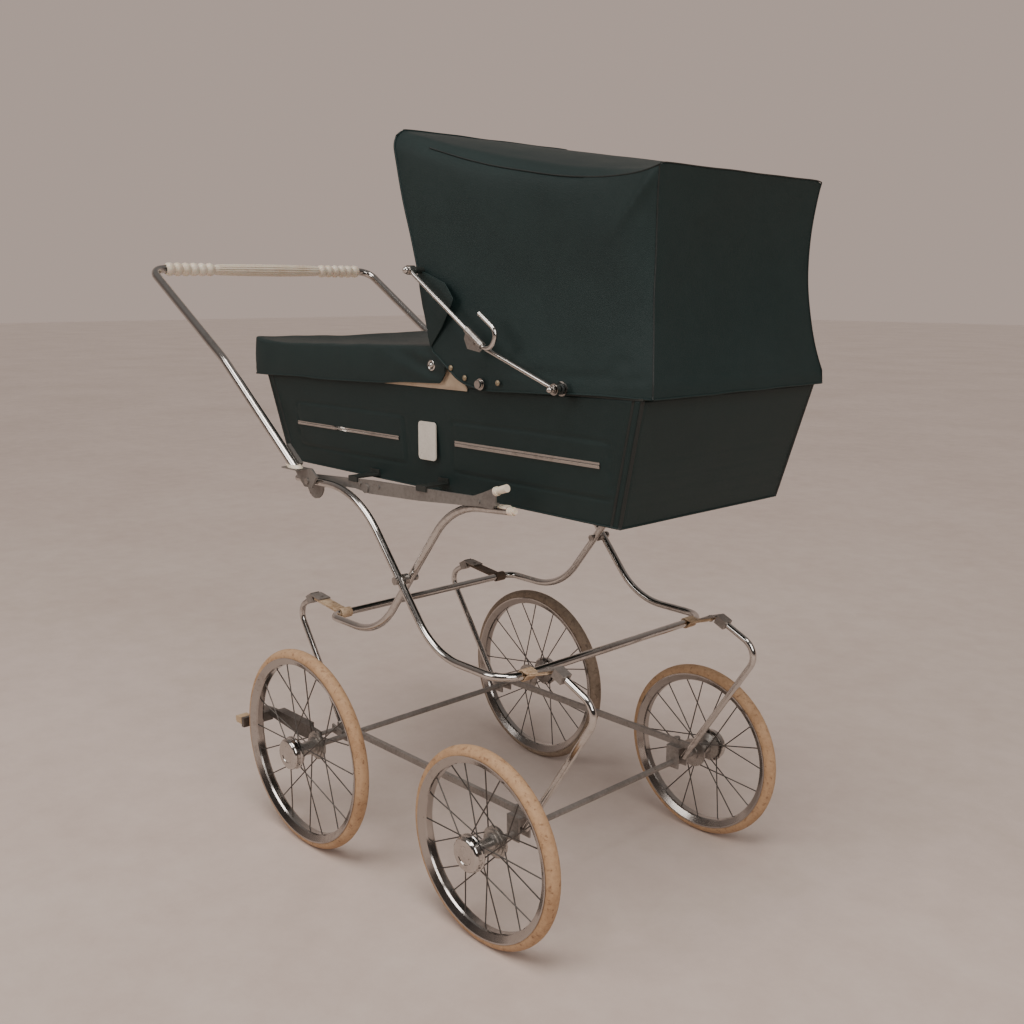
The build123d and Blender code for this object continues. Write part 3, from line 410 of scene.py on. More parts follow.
def joined(name, pieces):
    """Join pieces into one object."""
    bpy.ops.object.select_all(action="DESELECT")
    for piece in pieces:
        piece.select_set(True)
    bpy.context.view_layer.objects.active = pieces[0]
    bpy.ops.object.join()
    pieces[0].name = name
    return pieces[0]


# ------------------------------------------------------------------ covers on bows
WELD = 0.0004
FOLD_ANGLE = radians(40)
FOLD_CREASE = 0.75
DRIFT_REACH, DRIFT_SEED = 75.0, 3.0


def coons(near, far, low, high, u, v):
    """Patch between four edge curves: near and far at u 0 and 1, low and high at v 0 and 1."""
    edges = low(u) * (1 - v) + high(u) * v + near(v) * (1 - u) + far(v) * u
    corners = (low(0) * (1 - u) * (1 - v) + low(1) * u * (1 - v)
               + high(0) * (1 - u) * v + high(1) * u * v)
    return edges - corners


def drift(point, reach, size, seed):
    """A small smooth shift in every direction, the same wherever two patches meet."""
    spot = Vector(point) / reach
    return Vector([noise.noise(spot + Vector((seed + k * 9.0, k * 5.0, 0))) * size for k in range(3)])


def mirrored(edge):
    """The same edge curve on the other side of the pram."""
    def other(t):
        point = edge(t)
        return Vector((point.x, -point.y, point.z))
    return other


def cover(name, edges, counts, relief, thickness, backing, sharpening):
    """One continuous sheet over a box: two sides, the top and one closed end.

    edges holds the curves of the right side (low hem, seam, open and closed end) and of the
    top's and end's cross edges; relief moves a point of a patch. Folds are round up to the
    first x of sharpening, in mm, and sharpen up to the second one.
    """
    along, up, across = counts
    hem, seam, opening, corner = (edges[key] for key in ("hem", "seam", "opening", "corner"))
    patches = [
        ("side", opening, corner, hem, seam, along, up),
        ("side", mirrored(opening), mirrored(corner), mirrored(hem), mirrored(seam), along, up),
        ("top", edges["top_opening"], edges["top_corner"], seam, mirrored(seam), along, across),
        ("end", corner, mirrored(corner), edges["hem_end"], edges["top_corner"], across, up),
    ]
    points, faces = [], []
    for kind, near, far, low, high, columns, rows in patches:
        first = len(points)
        for i in range(rows + 1):
            for j in range(columns + 1):
                u, v = j / columns, i / rows
                points.append(at(*relief(kind, coons(near, far, low, high, u, v), u, v)))
        faces += grid_faces(rows + 1, columns + 1, first)
    made = mesh_object(name, points, faces, VINYL)
    round_to, sharp_from = sharpening
    with editing(made) as mesh:
        bmesh.ops.remove_doubles(mesh, verts=mesh.verts, dist=WELD)
        bmesh.ops.recalc_face_normals(mesh, faces=mesh.faces)
        highest = max(mesh.faces, key=lambda f: f.calc_center_median().z)
        if highest.normal.z < 0:
            bmesh.ops.reverse_faces(mesh, faces=mesh.faces)
        crease = mesh.edges.layers.float.new("crease_edge")
        for edge in mesh.edges:
            if edge.is_manifold and edge.calc_face_angle() > FOLD_ANGLE:
                past = (edge.verts[0].co.x * 1000 - X0 - round_to) / (sharp_from - round_to)
                edge[crease] = FOLD_CREASE * held(past)
    made.data.materials.append(backing)
    return settle(made, ("SUBSURF", {"levels": 2, "render_levels": 2}),
                  ("SOLIDIFY", {"thickness": thickness, "offset": -1.0, "material_offset": 1,
                                "material_offset_rim": 0}))


def partial(edge, start):
    """The rest of an edge curve, from this share of it on."""
    return lambda t: edge(start + (1 - start) * t)


def welt_paths(curves, wander, steps=60):
    """Sample edge curves into paths in metres, with the same drift as their cover."""
    paths = []
    for curve in curves:
        spots = [curve(i / steps) for i in range(steps + 1)]
        paths.append([at(*(spot + drift(spot, DRIFT_REACH, wander, DRIFT_SEED))) for spot in spots])
    return paths


# ------------------------------------------------------------------ hood
HOOD_OPENING = [(158, -209.5, 827.5), (126, -210.5, 833.2), (106, -211.2, 841), (93, -211.6, 850.4),
                (77, -212, 861.4), (61, -212, 872.6), (48.5, -211.8, 884), (31, -210.5, 945),
                (15, -209.5, 1004), (-18, -208.5, 1104), (-37, -207, 1166), (-43.5, -204, 1185),
                (-48, -196, 1198.5)]
HOOD_SEAM = [(-48, -196, 1198.5), (-10, -198, 1187), (34, -198, 1174.6), (101, -196, 1155),
             (185, -192, 1136.3), (244, -189, 1125.4), (301, -187, 1117.6), (354, -185, 1112.6),
             (396, -184, 1113), (432, -183.5, 1116), (456, -183, 1121)]
HOOD_HEM = [(158, -209.5, 827.5), (240, -208, 829), (318, -205, 832), (390, -202, 834.3),
            (440, -199, 834.5), (466, -197, 834.5)]
HOOD_BACK_LOW, HOOD_BACK_HIGH = Vector((466, -197, 834.5)), Vector((456, -183, 1121))
HOOD_CROWN, HOOD_BACK_TOP = (-50, 1209), (457, 1124)
HOOD_DRIFT = 1.3
HOOD_STITCH_Z = 857
CORNER_PULL = 14.0
HOOD_SIDE = 212.6
FOLD_SLOPE, FOLD_WIDTH, FOLD_CREST = 0.85, 8.0, 4.6
SIDE_HOLLOW, END_HOLLOW = 6.0, 9.0


def hood_corner(v):
    """The hood's back corner, which the tight cover pulls inwards between hem and bow."""
    point = HOOD_BACK_LOW.lerp(HOOD_BACK_HIGH, v)
    pull = CORNER_PULL * max(0.0, sin(pi * held((v - 0.07) / 0.93))) ** 0.85
    return point + Vector((-pull, pull, 0))


HOOD_EDGES = {
    "hem": lambda u: spline(HOOD_HEM, u),
    "seam": lambda u: spline(HOOD_SEAM, u),
    "opening": lambda v: spline(HOOD_OPENING, v),
    "corner": hood_corner,
    "top_opening": lambda w: spline([(-48, -196, 1198.5), (-50.5, -182, 1206), (-51.5, -160, 1208.5),
                                     (-52, 0, 1209), (-51.5, 160, 1208.5), (-50.5, 182, 1206),
                                     (-48, 196, 1198.5)], w),
    "top_corner": lambda w: spline([(456, -183, 1121), (457, -172, 1124), (457, -90, 1124),
                                    (457, 0, 1124), (457, 90, 1124), (457, 172, 1124),
                                    (456, 183, 1121)], w),
    "hem_end": lambda w: Vector((466 + 1.5 * sin(pi * w), -197 + 394 * w, 834.5)),
}


def hood_fold(x, y, z, u, v):
    """The y of the hood's side, drawn in behind the taut fold from the back bow's corner."""
    side = 1 if y > 0 else -1
    top_x, _, top_z = HOOD_BACK_HIGH
    pull = abs(HOOD_BACK_LOW.lerp(HOOD_BACK_HIGH, v).y) - abs(hood_corner(v).y)
    edge_x = hood_corner(v).x
    fold_x = min(top_x - (top_z - z) * FOLD_SLOPE, edge_x - 1)
    sharp = held((z - 1000) / 90)
    share = held((x - max(fold_x, 300)) / (edge_x - max(fold_x, 300)))
    y += side * (pull * u - pull * share ** (2.6 - 1.35 * sharp))
    crest = exp(-((x - fold_x) / FOLD_WIDTH) ** 2) * held((z - 1030) / 40) * held((top_z - z) / 15)
    y += side * FOLD_CREST * crest
    y -= side * SIDE_HOLLOW * sin(pi * u) * sin(pi * v) ** 2
    return y


def hood_relief(kind, point, u, v):
    """Move a point of the hood's cover: taut folds, hollows, the hem's seam and slack."""
    x, y, z = point
    side = 1 if y > 0 else -1
    seam = exp(-((z - HOOD_STITCH_Z) / 4.5) ** 2)
    if kind == "side":
        y = hood_fold(x, y, z, u, v)
        y -= side * 1.1 * seam * held(u * 3) * held((1 - u) * 30)
        slack = exp(-((x - 405) / 40) ** 2 - ((z - 868) / 22) ** 2)
        y += side * 1.2 * slack * sin((x - z * 0.8) / 9.0) * held((1 - u) * 10)
        dimple = exp(-(((x - 420) / 9) ** 2 + ((z - 876) / 7) ** 2))
        y -= side * 1.5 * dimple
    elif kind == "top":
        run, fall = HOOD_BACK_TOP[0] - HOOD_CROWN[0], HOOD_CROWN[1] - HOOD_BACK_TOP[1]
        straight = HOOD_CROWN[1] - (x - HOOD_CROWN[0]) / run * fall
        across = 1 - abs(2 * v - 1) ** 2.4
        z += (straight - z) * across * held(u * 12) * held((1 - u) * 12)
    else:
        inward = sin(pi * u) * sin(pi * v)
        x -= END_HOLLOW * inward
        x -= 1.1 * seam * held(u * 20) * held((1 - u) * 20)
    return Vector((x, y, z)) + drift((x, y, z), DRIFT_REACH, HOOD_DRIFT, DRIFT_SEED)


EAR = [(20, 1000), (50, 991), (84, 979.6), (97, 969), (108.5, 956.7), (106, 950), (101.5, 943.8),
       (76, 914), (50, 885), (43, 909), (31, 945), (23.6, 972)]


def hood_ear(side):
    """Loose pointed tab of vinyl that hangs from the hood's front edge, outside the cover."""
    centre = Vector((62, 0, 950))
    points = []
    layers = ((0.02, 0.0), (0.5, 0.0), (0.985, 0.0), (1.0, 0.8), (0.985, 1.6), (0.5, 1.6), (0.02, 1.6))
    for shrink, lift in layers:
        for x, z in EAR:
            spot = centre.lerp(Vector((x, 0, z)), shrink)
            curl = 6.0 * exp(-((spot.x - 108) / 24) ** 2 - ((spot.z - 950) / 40) ** 2)
            curl += 0.8 * noise.noise(Vector((spot.x / 20, spot.z / 20, side)))
            lean = 0.009 * (950 - spot.z)
            points.append(at(spot.x, side * (HOOD_SIDE + lean + curl + lift), spot.z))
    faces = grid_faces(len(layers), len(EAR), wrap_columns=True)
    made = mesh_object(f"hood_ear_{side_name(side)}", points, faces, VINYL)
    return settle(made, ("BEVEL", {"width": 0.0008, "segments": 2, "limit_method": "ANGLE"}))


def hood():
    """Cover, welts, binding and ears of the hood."""
    sheet = cover("hood_cover", HOOD_EDGES, (56, 34, 28), hood_relief, 0.0022, BACKING, (20, 110))
    top_seam = partial(HOOD_EDGES["seam"], 0.165)
    seams = welt_paths([top_seam, mirrored(top_seam), hood_corner, mirrored(hood_corner),
                        HOOD_EDGES["top_corner"]], HOOD_DRIFT)
    welts = tubes("hood_welts", seams, 0.0009, VINYL_EDGE)
    lips = welt_paths([HOOD_EDGES["opening"], mirrored(HOOD_EDGES["opening"]),
                       HOOD_EDGES["top_opening"]], HOOD_DRIFT, 90)
    binding = tubes("hood_binding", lips, 0.0017, VINYL)
    hems = welt_paths([HOOD_EDGES["hem"], mirrored(HOOD_EDGES["hem"]), HOOD_EDGES["hem_end"]],
                      HOOD_DRIFT)
    hem = tubes("hood_hem", hems, 0.0013, VINYL)
    ears = [hood_ear(side) for side in SIDES]
    for piece in [sheet, welts, binding, hem, *ears]:
        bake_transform(piece)
    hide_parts("hood_canopy")


def stay_washers():
    """Dark rubber washers under the feet of the folding stays."""
    ring = [(0.0, 0.0052), (0.0, 0.0072), (0.0012, 0.0076), (0.0036, 0.0076), (0.0046, 0.0068),
            (0.0046, 0.0052)]
    pieces = []
    for side in SIDES:
        spot = at(BACK_FOOT[0], side * 213.3, BACK_FOOT[1])
        pieces.append(turned("washer", ring, spot, (0, side, 0), VINYL_EDGE))
    washers = joined("stay_washers", pieces)
    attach(washers, "cot")


def hood_rivets():
    """Three brass rivets a side that pin the hood to its hinge plate."""
    dome = [(0.0, 0.0042), (0.0008, 0.0042), (0.0016, 0.0034), (0.0021, 0.0018), (0.0023, 0.0001)]
    pieces = []
    for side in SIDES:
        for x, z in ((94, 856), (125, 843), (196, 840)):
            spot = at(x, side * HOOD_SIDE, z)
            pieces.append(turned("rivet", dome, spot, (0, side, 0), BRASS, 20))
    rivets = joined("hood_rivets", pieces)
    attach(rivets, "cot")


# ------------------------------------------------------------------ foot cover
APRON_SEAM = [(66, -203, 881.5), (40, -203.5, 885), (13, -203.5, 885), (-90, -203.5, 882.8),
              (-202, -203.5, 880.3), (-320, -203.5, 877.6), (-384, -203.5, 876.9),
              (-440, -203.5, 880), (-473, -201, 885)]
APRON_HEM = [(60, -207, 831.7), (15, -207, 830), (-35, -207, 827.8), (-87, -207, 823.5),
             (-198, -207.3, 820.5), (-260, -207, 819.2), (-319, -207, 820), (-400, -207, 818),
             (-464, -206, 817), (-473, -202, 817)]
APRON_EDGES = {
    "hem": lambda u: spline(APRON_HEM, u),
    "seam": lambda u: spline(APRON_SEAM, u),
    "opening": lambda v: spline([(60, -207, 831.7), (66, -207.3, 836), (77, -207, 853.7),
                                 (77, -205.5, 868), (66, -203, 881.5)], v),
    "corner": lambda v: Vector((-473 - 2.0 * sin(pi * v), -202 + v, 817 + 68 * v)),
    "top_opening": lambda w: spline([(66, -203, 881.5), (62, -190, 884), (60, 0, 885),
                                     (62, 190, 884), (66, 203, 881.5)], w),
    "top_corner": lambda w: spline([(-473, -201, 885), (-474, -100, 883), (-474, 0, 881),
                                    (-474, 100, 883), (-473, 201, 885)], w),
    "hem_end": lambda w: Vector((-473 - 2 * sin(pi * w), -202 + 404 * w, 817)),
}
SNAP = (42.0, 857.0)
SNAP_DIMPLE, PUCKER = 2.6, 2.2
APRON_SAG = 4.0


def apron_relief(kind, point, u, v):
    """Move a point of the foot cover: a slack top, puckers at the snap and a stitched hem."""
    x, y, z = point
    side = 1 if y > 0 else -1
    if kind == "side":
        inner = held((1 - u) * 12)
        reach = hypot(x - SNAP[0], z - SNAP[1])
        y -= side * SNAP_DIMPLE * exp(-(reach / 12) ** 2)
        across = (z - SNAP[1]) + (x - SNAP[0]) * 0.32
        y += side * PUCKER * exp(-(reach / 75) ** 2) * sin(across / 5.5) * sin(pi * v) * inner
        y -= side * 0.8 * exp(-((v - 0.15) / 0.04) ** 2) * held(u * 12) * inner
        y += side * 1.4 * sin(pi * v) * inner
    elif kind == "top":
        z -= APRON_SAG * sin(pi * v) * sin(pi * u)
        z += 1.6 * sin(pi * v) * sin(pi * u) * sin(x / 23.0 + y / 31.0) * exp(-((x + 390) / 90) ** 2)
    return Vector((x, y, z)) + drift((x, y, z), 55.0, 1.5, 7.0) * held((v if kind == "side" else 1) * 3)


def apron():
    """The foot cover with its bound edges and snap rings, which lifts off the cot."""
    sheet = cover("foot_cover", APRON_EDGES, (60, 10, 30), apron_relief, 0.0024, LINING, (200, 300))
    edges = welt_paths([APRON_EDGES[key] for key in ("hem", "opening", "hem_end")]
                       + [mirrored(APRON_EDGES["hem"]), mirrored(APRON_EDGES["opening"])], 0.0)
    binding = tubes("foot_cover_binding", edges, 0.0012, VINYL)
    rings = []
    for side in SIDES:
        spot = at(SNAP[0], side * 206.0, SNAP[1])
        ring = [(0.0, 0.0088), (0.0016, 0.0086), (0.0024, 0.0072), (0.0018, 0.0056), (0.0004, 0.005)]
        button = [(0.0, 0.0042), (0.0030, 0.0040), (0.0042, 0.0026), (0.0045, 0.0001)]
        for profile in (ring, button):
            rings.append(turned("snap", profile, spot, (0, side, 0), CHROME))
    snaps = joined("foot_cover_snaps", rings)
    for piece in (sheet, binding, snaps):
        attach(piece, "apron")
    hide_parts("apron")


# ------------------------------------------------------------------ cot
SIDE_PANELS = ((-352.0, -46.0), (72.0, 392.0))
PANEL_Z = (695.0, 772.0)
PANEL_RISE, PANEL_GROOVE = 0.7, 1.6
END_GROOVES = (686, 704, 722, 748)
LONG_STEPS, SHORT_STEPS = 150, 60
SHELL_CORNER, LINING_CORNER = 5.0, 4.0
SHELL_T, UNDERSIDE_IN = 2.9, 12.0
WELT_RUN, WELT_STEPS = 14.0, 30
LINING_FACE, LINING_BACK = 6.6, 3.6
LINING_LOW, LINING_HIGH = 0.045, 0.985
LINING_LONG, LINING_SHORT = 120, 52
PAD_IN, PAD_CROWN = 30.0, 7.0
CHANNEL, CHANNEL_RISE = 62.0, 1.6


def rounded_box_distance(x, z, x_range, z_range, radius):
    """Signed distance from a rounded rectangle's edge, negative inside."""
    cx, cz = sum(x_range) / 2, sum(z_range) / 2
    dx = abs(x - cx) - (x_range[1] - x_range[0]) / 2 + radius
    dz = abs(z - cz) - (z_range[1] - z_range[0]) / 2 + radius
    return hypot(max(dx, 0), max(dz, 0)) + min(max(dx, dz), 0) - radius


def wall_relief(x, z, run):
    """How far the covering stands off a long wall: pressed panels, seams and soft slack."""
    height = 0.6 * noise.noise(Vector((x / 90, z / 60, 2.0)))
    for x_range in SIDE_PANELS:
        distance = rounded_box_distance(x, z, x_range, PANEL_Z, 9.0)
        height += PANEL_RISE / (1 + exp(distance / 1.6))
        height -= PANEL_GROOVE * exp(-((distance - 1.0) / 2.0) ** 2)
    height -= 1.2 * exp(-((run - WELT_RUN) / 2.0) ** 2)
    return height


def cot_ring(share, inset):
    """The cot's outline at a share of its height: rear, front, half width, rear z, front z."""
    rear = FLOOR_REAR + (COT_REAR - FLOOR_REAR) * share + inset
    front = FLOOR_FRONT + (COT_FRONT - FLOOR_FRONT) * share - inset
    half = COT_HALF_FLOOR + (COT_HALF_TOP - COT_HALF_FLOOR) * share - inset
    low = FLOOR_REAR_Z + (RIM_REAR_Z - FLOOR_REAR_Z) * share
    high = FLOOR_FRONT_Z + (RIM_FRONT_Z - FLOOR_FRONT_Z) * share
    return rear, front, half, low, high


def wall_spots(rear, front, half, long, short, corner):
    """Walk the four walls in turn: place, the wall's direction, run along it and its length."""
    runs = [((rear, -half), (front, -half), long), ((front, -half), (front, half), short),
            ((front, half), (rear, half), long), ((rear, half), (rear, -half), short)]
    for (x1, y1), (x2, y2), steps in runs:
        length = hypot(x2 - x1, y2 - y1)
        ux, uy = (x2 - x1) / length, (y2 - y1) / length
        for k in range(steps + 1):
            run = corner + (length - 2 * corner) * k / steps
            yield x1 + ux * run, y1 + uy * run, ux, uy, run, length


def cot_outline(share, inset=0.0, long=LONG_STEPS, short=SHORT_STEPS):
    """Points round the cot at a share of its height, with the covering's relief."""
    rear, front, half, low, high = cot_ring(share, inset)
    points = []
    for x, y, ux, uy, run, length in wall_spots(rear, front, half, long, short, SHELL_CORNER):
        z = low + (high - low) * (x - rear) / (front - rear)
        lift = 0.0
        if inset == 0.0 and abs(ux) > 0.5:
            lift = wall_relief(x, z, min(run, length - run))
        elif inset == 0.0:
            lift = 0.7 * noise.noise(Vector((y / 90, z / 50, 4.0)))
            for groove in END_GROOVES:
                lift -= 0.35 * exp(-((z - groove) / 1.8) ** 2)
        points.append((x + uy * lift, y - ux * lift, z))
    return points


def cot_shell():
    """Vinyl covering of the cot: pressed side panels, flat underside, corner and base welts."""
    levels = 56
    rings = [cot_outline(i / levels) for i in range(levels + 1)]
    rings.append(cot_outline(1.0, SHELL_T))
    rings.append(cot_outline(0.03, SHELL_T))
    count = len(rings[0])
    points = [at(*p) for ring in rings for p in ring]
    faces = grid_faces(len(rings), count, wrap_columns=True)
    floor_out = len(points)
    rear, front, half, low, high = cot_ring(0.0, UNDERSIDE_IN)
    for x, y, z in ((rear, -half, low), (front, -half, high), (front, half, high), (rear, half, low)):
        points.append(at(x, y, z + 0.3))
    faces += floor_faces(rings[0], floor_out)
    faces.append(tuple(range((len(rings) - 1) * count, len(rings) * count)))
    shell = mesh_object("cot_covering", points, faces, VINYL)
    corners = [(at_front, side) for at_front in (0, 1) for side in SIDES]
    upright = [k / WELT_STEPS for k in range(WELT_STEPS + 1)]
    uprights = [[corner_point(*corner, share, run) for share in upright]
                for run in (0.0, WELT_RUN) for corner in corners]
    welts = tubes("cot_welts", uprights, 0.0026, VINYL_EDGE)
    hoop = [at(*p) for p in cot_outline(0.004, long=60, short=24)]
    base = tubes("cot_base_welt", [hoop + hoop[:1]], 0.0014, VINYL, 8)
    for piece in (shell, welts, base):
        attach(piece, "cot")
    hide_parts("cot_shell")


def floor_faces(ring, first):
    """Faces from the lowest ring of the shell to the four corners of its flat underside."""
    faces, start = [], 0
    for k, steps in enumerate((LONG_STEPS, SHORT_STEPS) * 2):
        corner, following = first + k, first + (k + 1) % 4
        end = start + steps
        middle = start + (steps + 1) // 2
        for j in range(start, end):
            faces.append((j + 1, j, corner if j < middle else following))
            if j == middle - 1:
                faces.append((j + 1, corner, following))
        faces.append(((end + 1) % len(ring), end, following))
        start = end + 1
    faces.append((first, first + 3, first + 2, first + 1))
    return faces


def corner_point(at_front, side, share, run):
    """A point on an upright seam at a corner of the cot, or this far along the side from it."""
    rear, front, half, low, high = cot_ring(share, 1.6)
    x = front - run if at_front else rear + run
    return at(x, side * half, high if at_front else low)


def lining_quilt(run, depth):
    """Relief of the quilted lining: soft channels between stitched lines."""
    return CHANNEL_RISE * abs(sin(pi * run / CHANNEL)) ** 0.6 * min(depth * 6, 1.0)


def lining():
    """Padded lining with upright channels, a rolled top edge and a thin base pad."""
    levels = 24
    rings = [quilted_ring(*cot_ring(LINING_HIGH, LINING_BACK), None)]
    for i in range(levels + 1):
        share = LINING_LOW + (LINING_HIGH - LINING_LOW) * (1 - i / levels)
        rings.append(quilted_ring(*cot_ring(share, LINING_FACE), share))
    points = [at(*p) for ring in rings for p in ring]
    count = len(rings[0])
    faces = grid_faces(len(rings), count, wrap_columns=True)
    pad = len(points)
    rear, front, half, low, high = cot_ring(LINING_LOW, PAD_IN)
    columns, rows = 40, 20
    for i in range(rows + 1):
        for j in range(columns + 1):
            x = rear + (front - rear) * j / columns
            y = -half + 2 * half * i / rows
            dome = (sin(pi * i / rows) * sin(pi * j / columns)) ** 0.4 * PAD_CROWN
            z = low + (high - low) * j / columns + 0.5 + dome
            points.append(at(x, y, z + 0.8 * noise.noise(Vector((x / 60, y / 60, 1.0)))))
    faces += [face[::-1] for face in grid_faces(rows + 1, columns + 1, pad)]
    made = mesh_object("cot_padding", points, faces, LINING)
    with editing(made) as mesh:
        rims = [edge for edge in mesh.edges if edge.is_boundary and edge.verts[0].index >= count]
        bmesh.ops.bridge_loops(mesh, edges=rims)
    flaps = [lining_flap(side) for side in SIDES]
    for piece in (made, *flaps):
        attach(piece, "cot")
    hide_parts("cot_lining")


def quilted_ring(rear, front, half, low, high, share):
    """One ring of the lining's inner face, pushed inwards by the quilting unless share is None."""
    points = []
    spots = wall_spots(rear, front, half, LINING_LONG, LINING_SHORT, LINING_CORNER)
    for x, y, ux, uy, run, _ in spots:
        lift = 0.0 if share is None else lining_quilt(run, 1 - share)
        x, y = x - uy * lift, y + ux * lift
        points.append((x, y, low + (high - low) * (x - rear) / (front - rear)))
    return points


def lining_flap(side):
    """Lining turned out over the rim in the gap between the foot cover and the hood."""
    points = []
    columns = 50
    rear, front, low = -95, 117, 822.0
    profile = ((201.3, 0.0), (201.6, 0.35), (201.2, 0.7), (200.5, 1.0), (199.7, 1.0), (200.4, 0.6),
               (200.5, 0.3), (200.2, 0.0))
    for y, lift in profile:
        for j in range(columns + 1):
            x = rear + (front - rear) * j / columns
            high = 826 + 32 * held((x - rear) / 50) ** 0.7 * held((front - x) / 28)
            wave = 0.35 * noise.noise(Vector((x / 25, lift, 2.0 * side)))
            points.append(at(x, side * (y + wave), low + (high - low) * lift))
    faces = grid_faces(len(profile), columns + 1, wrap_rows=True)
    return mesh_object(f"lining_flap_{side_name(side)}", points, faces, LINING)


# ------------------------------------------------------------------ grip and straps
def grip():
    """Moulded grip: beads at both ends, and a fluted swelling between them."""
    steps, sides = 520, 112
    beaded = BEADS * BEAD_PITCH
    points = []
    for k in range(steps + 1):
        y = -GRIP_HALF + 2 * GRIP_HALF * k / steps
        from_end = GRIP_HALF - abs(y)
        if from_end < beaded:
            phase = (from_end % BEAD_PITCH) / BEAD_PITCH
            radius = BEAD_ROOT + BEAD_RISE * sin(pi * phase) ** 0.75
            flute = 0.0
        else:
            into = from_end - beaded
            swell = GRIP_SWELL * sin(pi / 2 * held(into / 120))
            radius = BEAD_ROOT + GRIP_SHOULDER * held(into / 9) + swell
            flute = held(into / 14)
        for j in range(sides):
            angle = 2 * pi * j / sides
            r = radius - flute * (0.5 + 0.5 * cos(FLUTES * angle)) ** 2 * FLUTE_DEPTH
            points.append(at(HANDLE_TOP[0] + r * cos(angle), y, HANDLE_TOP[1] + r * sin(angle)))
    faces = grid_faces(steps + 1, sides, wrap_columns=True) + end_caps(len(points), sides)
    made = mesh_object("grip", points, faces, CREAM)
    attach(made, "handle")
    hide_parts("handle_grip")


def strap_line(end):
    """A cross tube's middle, the strap's direction and upward normal, and the clip's distance."""
    cross = FRONT_CROSS if end > 0 else REAR_CROSS
    tip = SPRING_TOPS[end]
    length = hypot(tip[0] - cross[0], tip[1] - cross[1])
    ux, uz = (tip[0] - cross[0]) / length, (tip[1] - cross[1]) / length
    return cross, (ux, uz), (-uz * end, ux * end), length


def strap_layer(runs, upper, axes):
    """Stations of one straight layer: place and outward normal in the XZ plane."""
    (ux, uz), (nx, nz) = axes
    sign = 1 if upper else -1
    lift = sign * STRAP_LIFT
    return [(ux * run + nx * lift, uz * run + nz * lift, sign * nx, sign * nz) for run in runs]


def strap_loop(axes):
    """Stations of the leather round the tube, from its upper side to its lower one."""
    (ux, uz), (nx, nz) = axes
    bend = TUBE_R + 0.3 + STRAP_T / 2
    steps, opening = 32, 38
    stations = []
    for k in range(steps + 1):
        angle = radians(opening + (360 - 2 * opening) * k / steps)
        dx = ux * cos(angle) + nx * sin(angle)
        dz = uz * cos(angle) + nz * sin(angle)
        stations.append((dx * bend, dz * bend, dx, dz))
    return stations


def strap_piece(name, end, side, stations, body):
    """A length of strap swept along its stations, with softened edges, riding a body."""
    cross = strap_line(end)[0]
    half, t = STRAP_W / 2, STRAP_T / 2
    section = [(-half, -t * 0.6), (-half + 0.6, -t), (half - 0.6, -t), (half, -t * 0.6),
               (half, t * 0.6), (half - 0.6, t), (-half + 0.6, t), (-half, t * 0.6)]
    points = []
    for k, (dx, dz, ox, oz) in enumerate(stations):
        waist = 1.0 + 0.03 * noise.noise(Vector((k * 0.4, side, end)))
        for y, out in section:
            points.append(at(cross[0] + dx + ox * out, side * SPRING_Y[end] + y * waist,
                             cross[1] + dz + oz * out))
    faces = grid_faces(len(stations), len(section), wrap_columns=True)
    faces += end_caps(len(points), len(section))
    leather = DARK_LEATHER if end < 0 and side > 0 else LEATHER
    full_name = f"{name}_{'front' if end > 0 else 'rear'}_{side_name(side)}"
    made = mesh_object(full_name, points, faces, leather)
    with editing(made) as mesh:
        bmesh.ops.recalc_face_normals(mesh, faces=mesh.faces)
    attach(made, body)
    if body == "undercarriage":
        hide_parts("front_straps" if end > 0 else "rear_straps")
    return made


def front_strap(side):
    """Strap folded round the outer frame's cross tube, its two layers riveted into the clip."""
    _, *axes, length = strap_line(1)
    runs = [length - CLIP_END - (length - 23) * k / 15 for k in range(16)]
    stations = strap_layer(runs, True, axes) + strap_loop(axes) + strap_layer(runs[::-1], False, axes)
    strap_piece("strap", 1, side, stations, "undercarriage")


def rear_strap(side):
    """Strap in two lengths: a loop that goes with the tube, and a band that runs to the clip."""
    _, *axes, length = strap_line(-1)
    tail = [17.0, 15.0, 13.0]
    loop = strap_layer(tail, True, axes) + strap_loop(axes) + strap_layer(tail[::-1], False, axes)
    strap_piece("strap_loop", -1, side, loop, "inner_frame")
    runs = [length - CLIP_END - (length - 27.2) * k / 13 for k in range(14)]
    band = strap_layer(runs, True, axes) + strap_layer(runs[::-1], False, axes)
    made = strap_piece("strap_band", -1, side, band, "undercarriage")
    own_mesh(made)


# ------------------------------------------------------------------ stage
FLOOR_REACH = 30.0
LIGHT_COLOUR = (1.0, 0.955, 0.92)
LIGHT_AIM = Vector((0.1, 0, 0.5))
TOWARDS_WALL = (-0.725, 0.688, 0.0)
DARK_END, WALL_END, CEILING = (0.050, 0.043, 0.040), (0.47, 0.375, 0.328), (0.22, 0.205, 0.195)
LENS_MM = 39.306
CAMERA_PLACE = (1363.4, -1292.2, 972.85)
CAMERA_PITCH, CAMERA_TURN, CAMERA_ROLL = 78.648, 46.489, 0.137


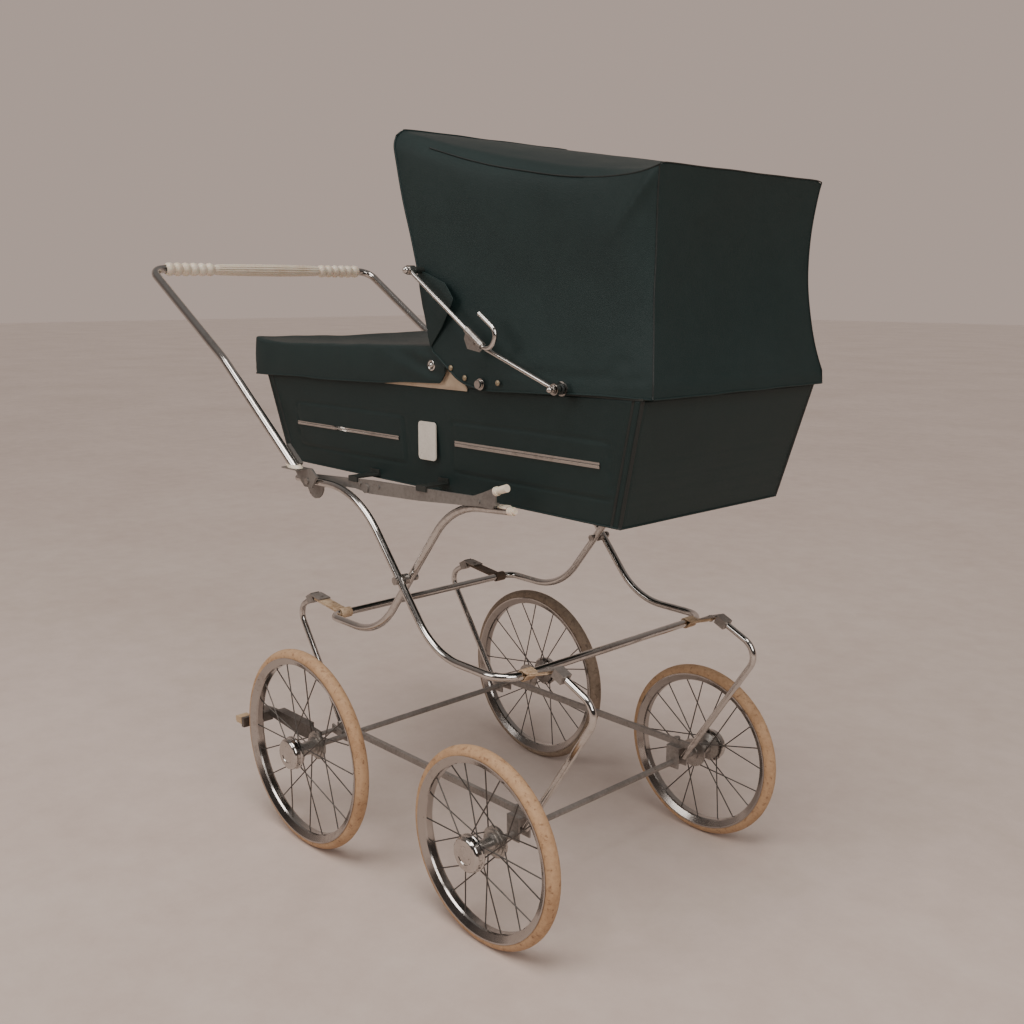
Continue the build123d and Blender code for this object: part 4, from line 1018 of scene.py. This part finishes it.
def stage():
    """Pale floor, soft light from above and behind the camera, and the camera itself."""
    corners = [(x * FLOOR_REACH, y * FLOOR_REACH, 0) for x, y in ((-1, -1), (1, -1), (1, 1), (-1, 1))]
    floor = mesh_object("floor", corners, [(0, 1, 2, 3)], FLOOR)
    world = bpy.data.worlds.new("studio")
    world.use_nodes = True
    tree = world.node_tree
    tree.nodes.clear()
    direction = node(tree, "ShaderNodeTexCoord").outputs["Generated"]
    height = node(tree, "ShaderNodeSeparateXYZ", {"Vector": direction}).outputs["Z"]
    towards_wall = node(tree, "ShaderNodeVectorMath", {0: direction, 1: TOWARDS_WALL},
                        operation="DOT_PRODUCT").outputs["Value"]
    room = mixed(tree, between(tree, towards_wall, -0.2, 0.65), DARK_END, WALL_END)
    ceiling = mixed(tree, between(tree, height, 0.35, 0.8), room, CEILING)
    shader = node(tree, "ShaderNodeBackground", {"Color": ceiling, "Strength": 1.0})
    node(tree, "ShaderNodeOutputWorld", {"Surface": shader.outputs["Background"]})
    bpy.context.scene.world = world
    for name, kind, place, size, power in (
            ("ceiling", "SUN", (0.5, -0.9, 3.0), radians(34), 1.75),
            ("key", "AREA", (-0.7, -3.1, 2.5), 1.9, 46.0),
            ("fill", "AREA", (3.1, -1.0, 2.2), 1.9, 52.0)):
        light = bpy.data.lights.new(name, kind)
        setattr(light, "angle" if kind == "SUN" else "size", size)
        light.energy = power
        light.color = LIGHT_COLOUR
        lamp = bpy.data.objects.new(name, light)
        lamp.location = place
        lamp.rotation_euler = (LIGHT_AIM - Vector(place)).to_track_quat("-Z", "Y").to_euler()
        bpy.context.collection.objects.link(lamp)
    lens = bpy.data.cameras.new("camera")
    lens.lens = LENS_MM
    camera = bpy.data.objects.new("camera", lens)
    turn = Euler((radians(CAMERA_PITCH), 0, radians(CAMERA_TURN))).to_matrix()
    roll = Matrix.Rotation(radians(CAMERA_ROLL), 3, "Z")
    camera.matrix_world = Matrix.LocRotScale(at(*CAMERA_PLACE), turn @ roll, None)
    bpy.context.collection.objects.link(camera)
    bpy.context.scene.camera = camera


finish_cad_nodes()
hood()
hood_rivets()
stay_washers()
apron()
cot_shell()
lining()
grip()
for side in SIDES:
    front_strap(side)
    rear_strap(side)
stage()
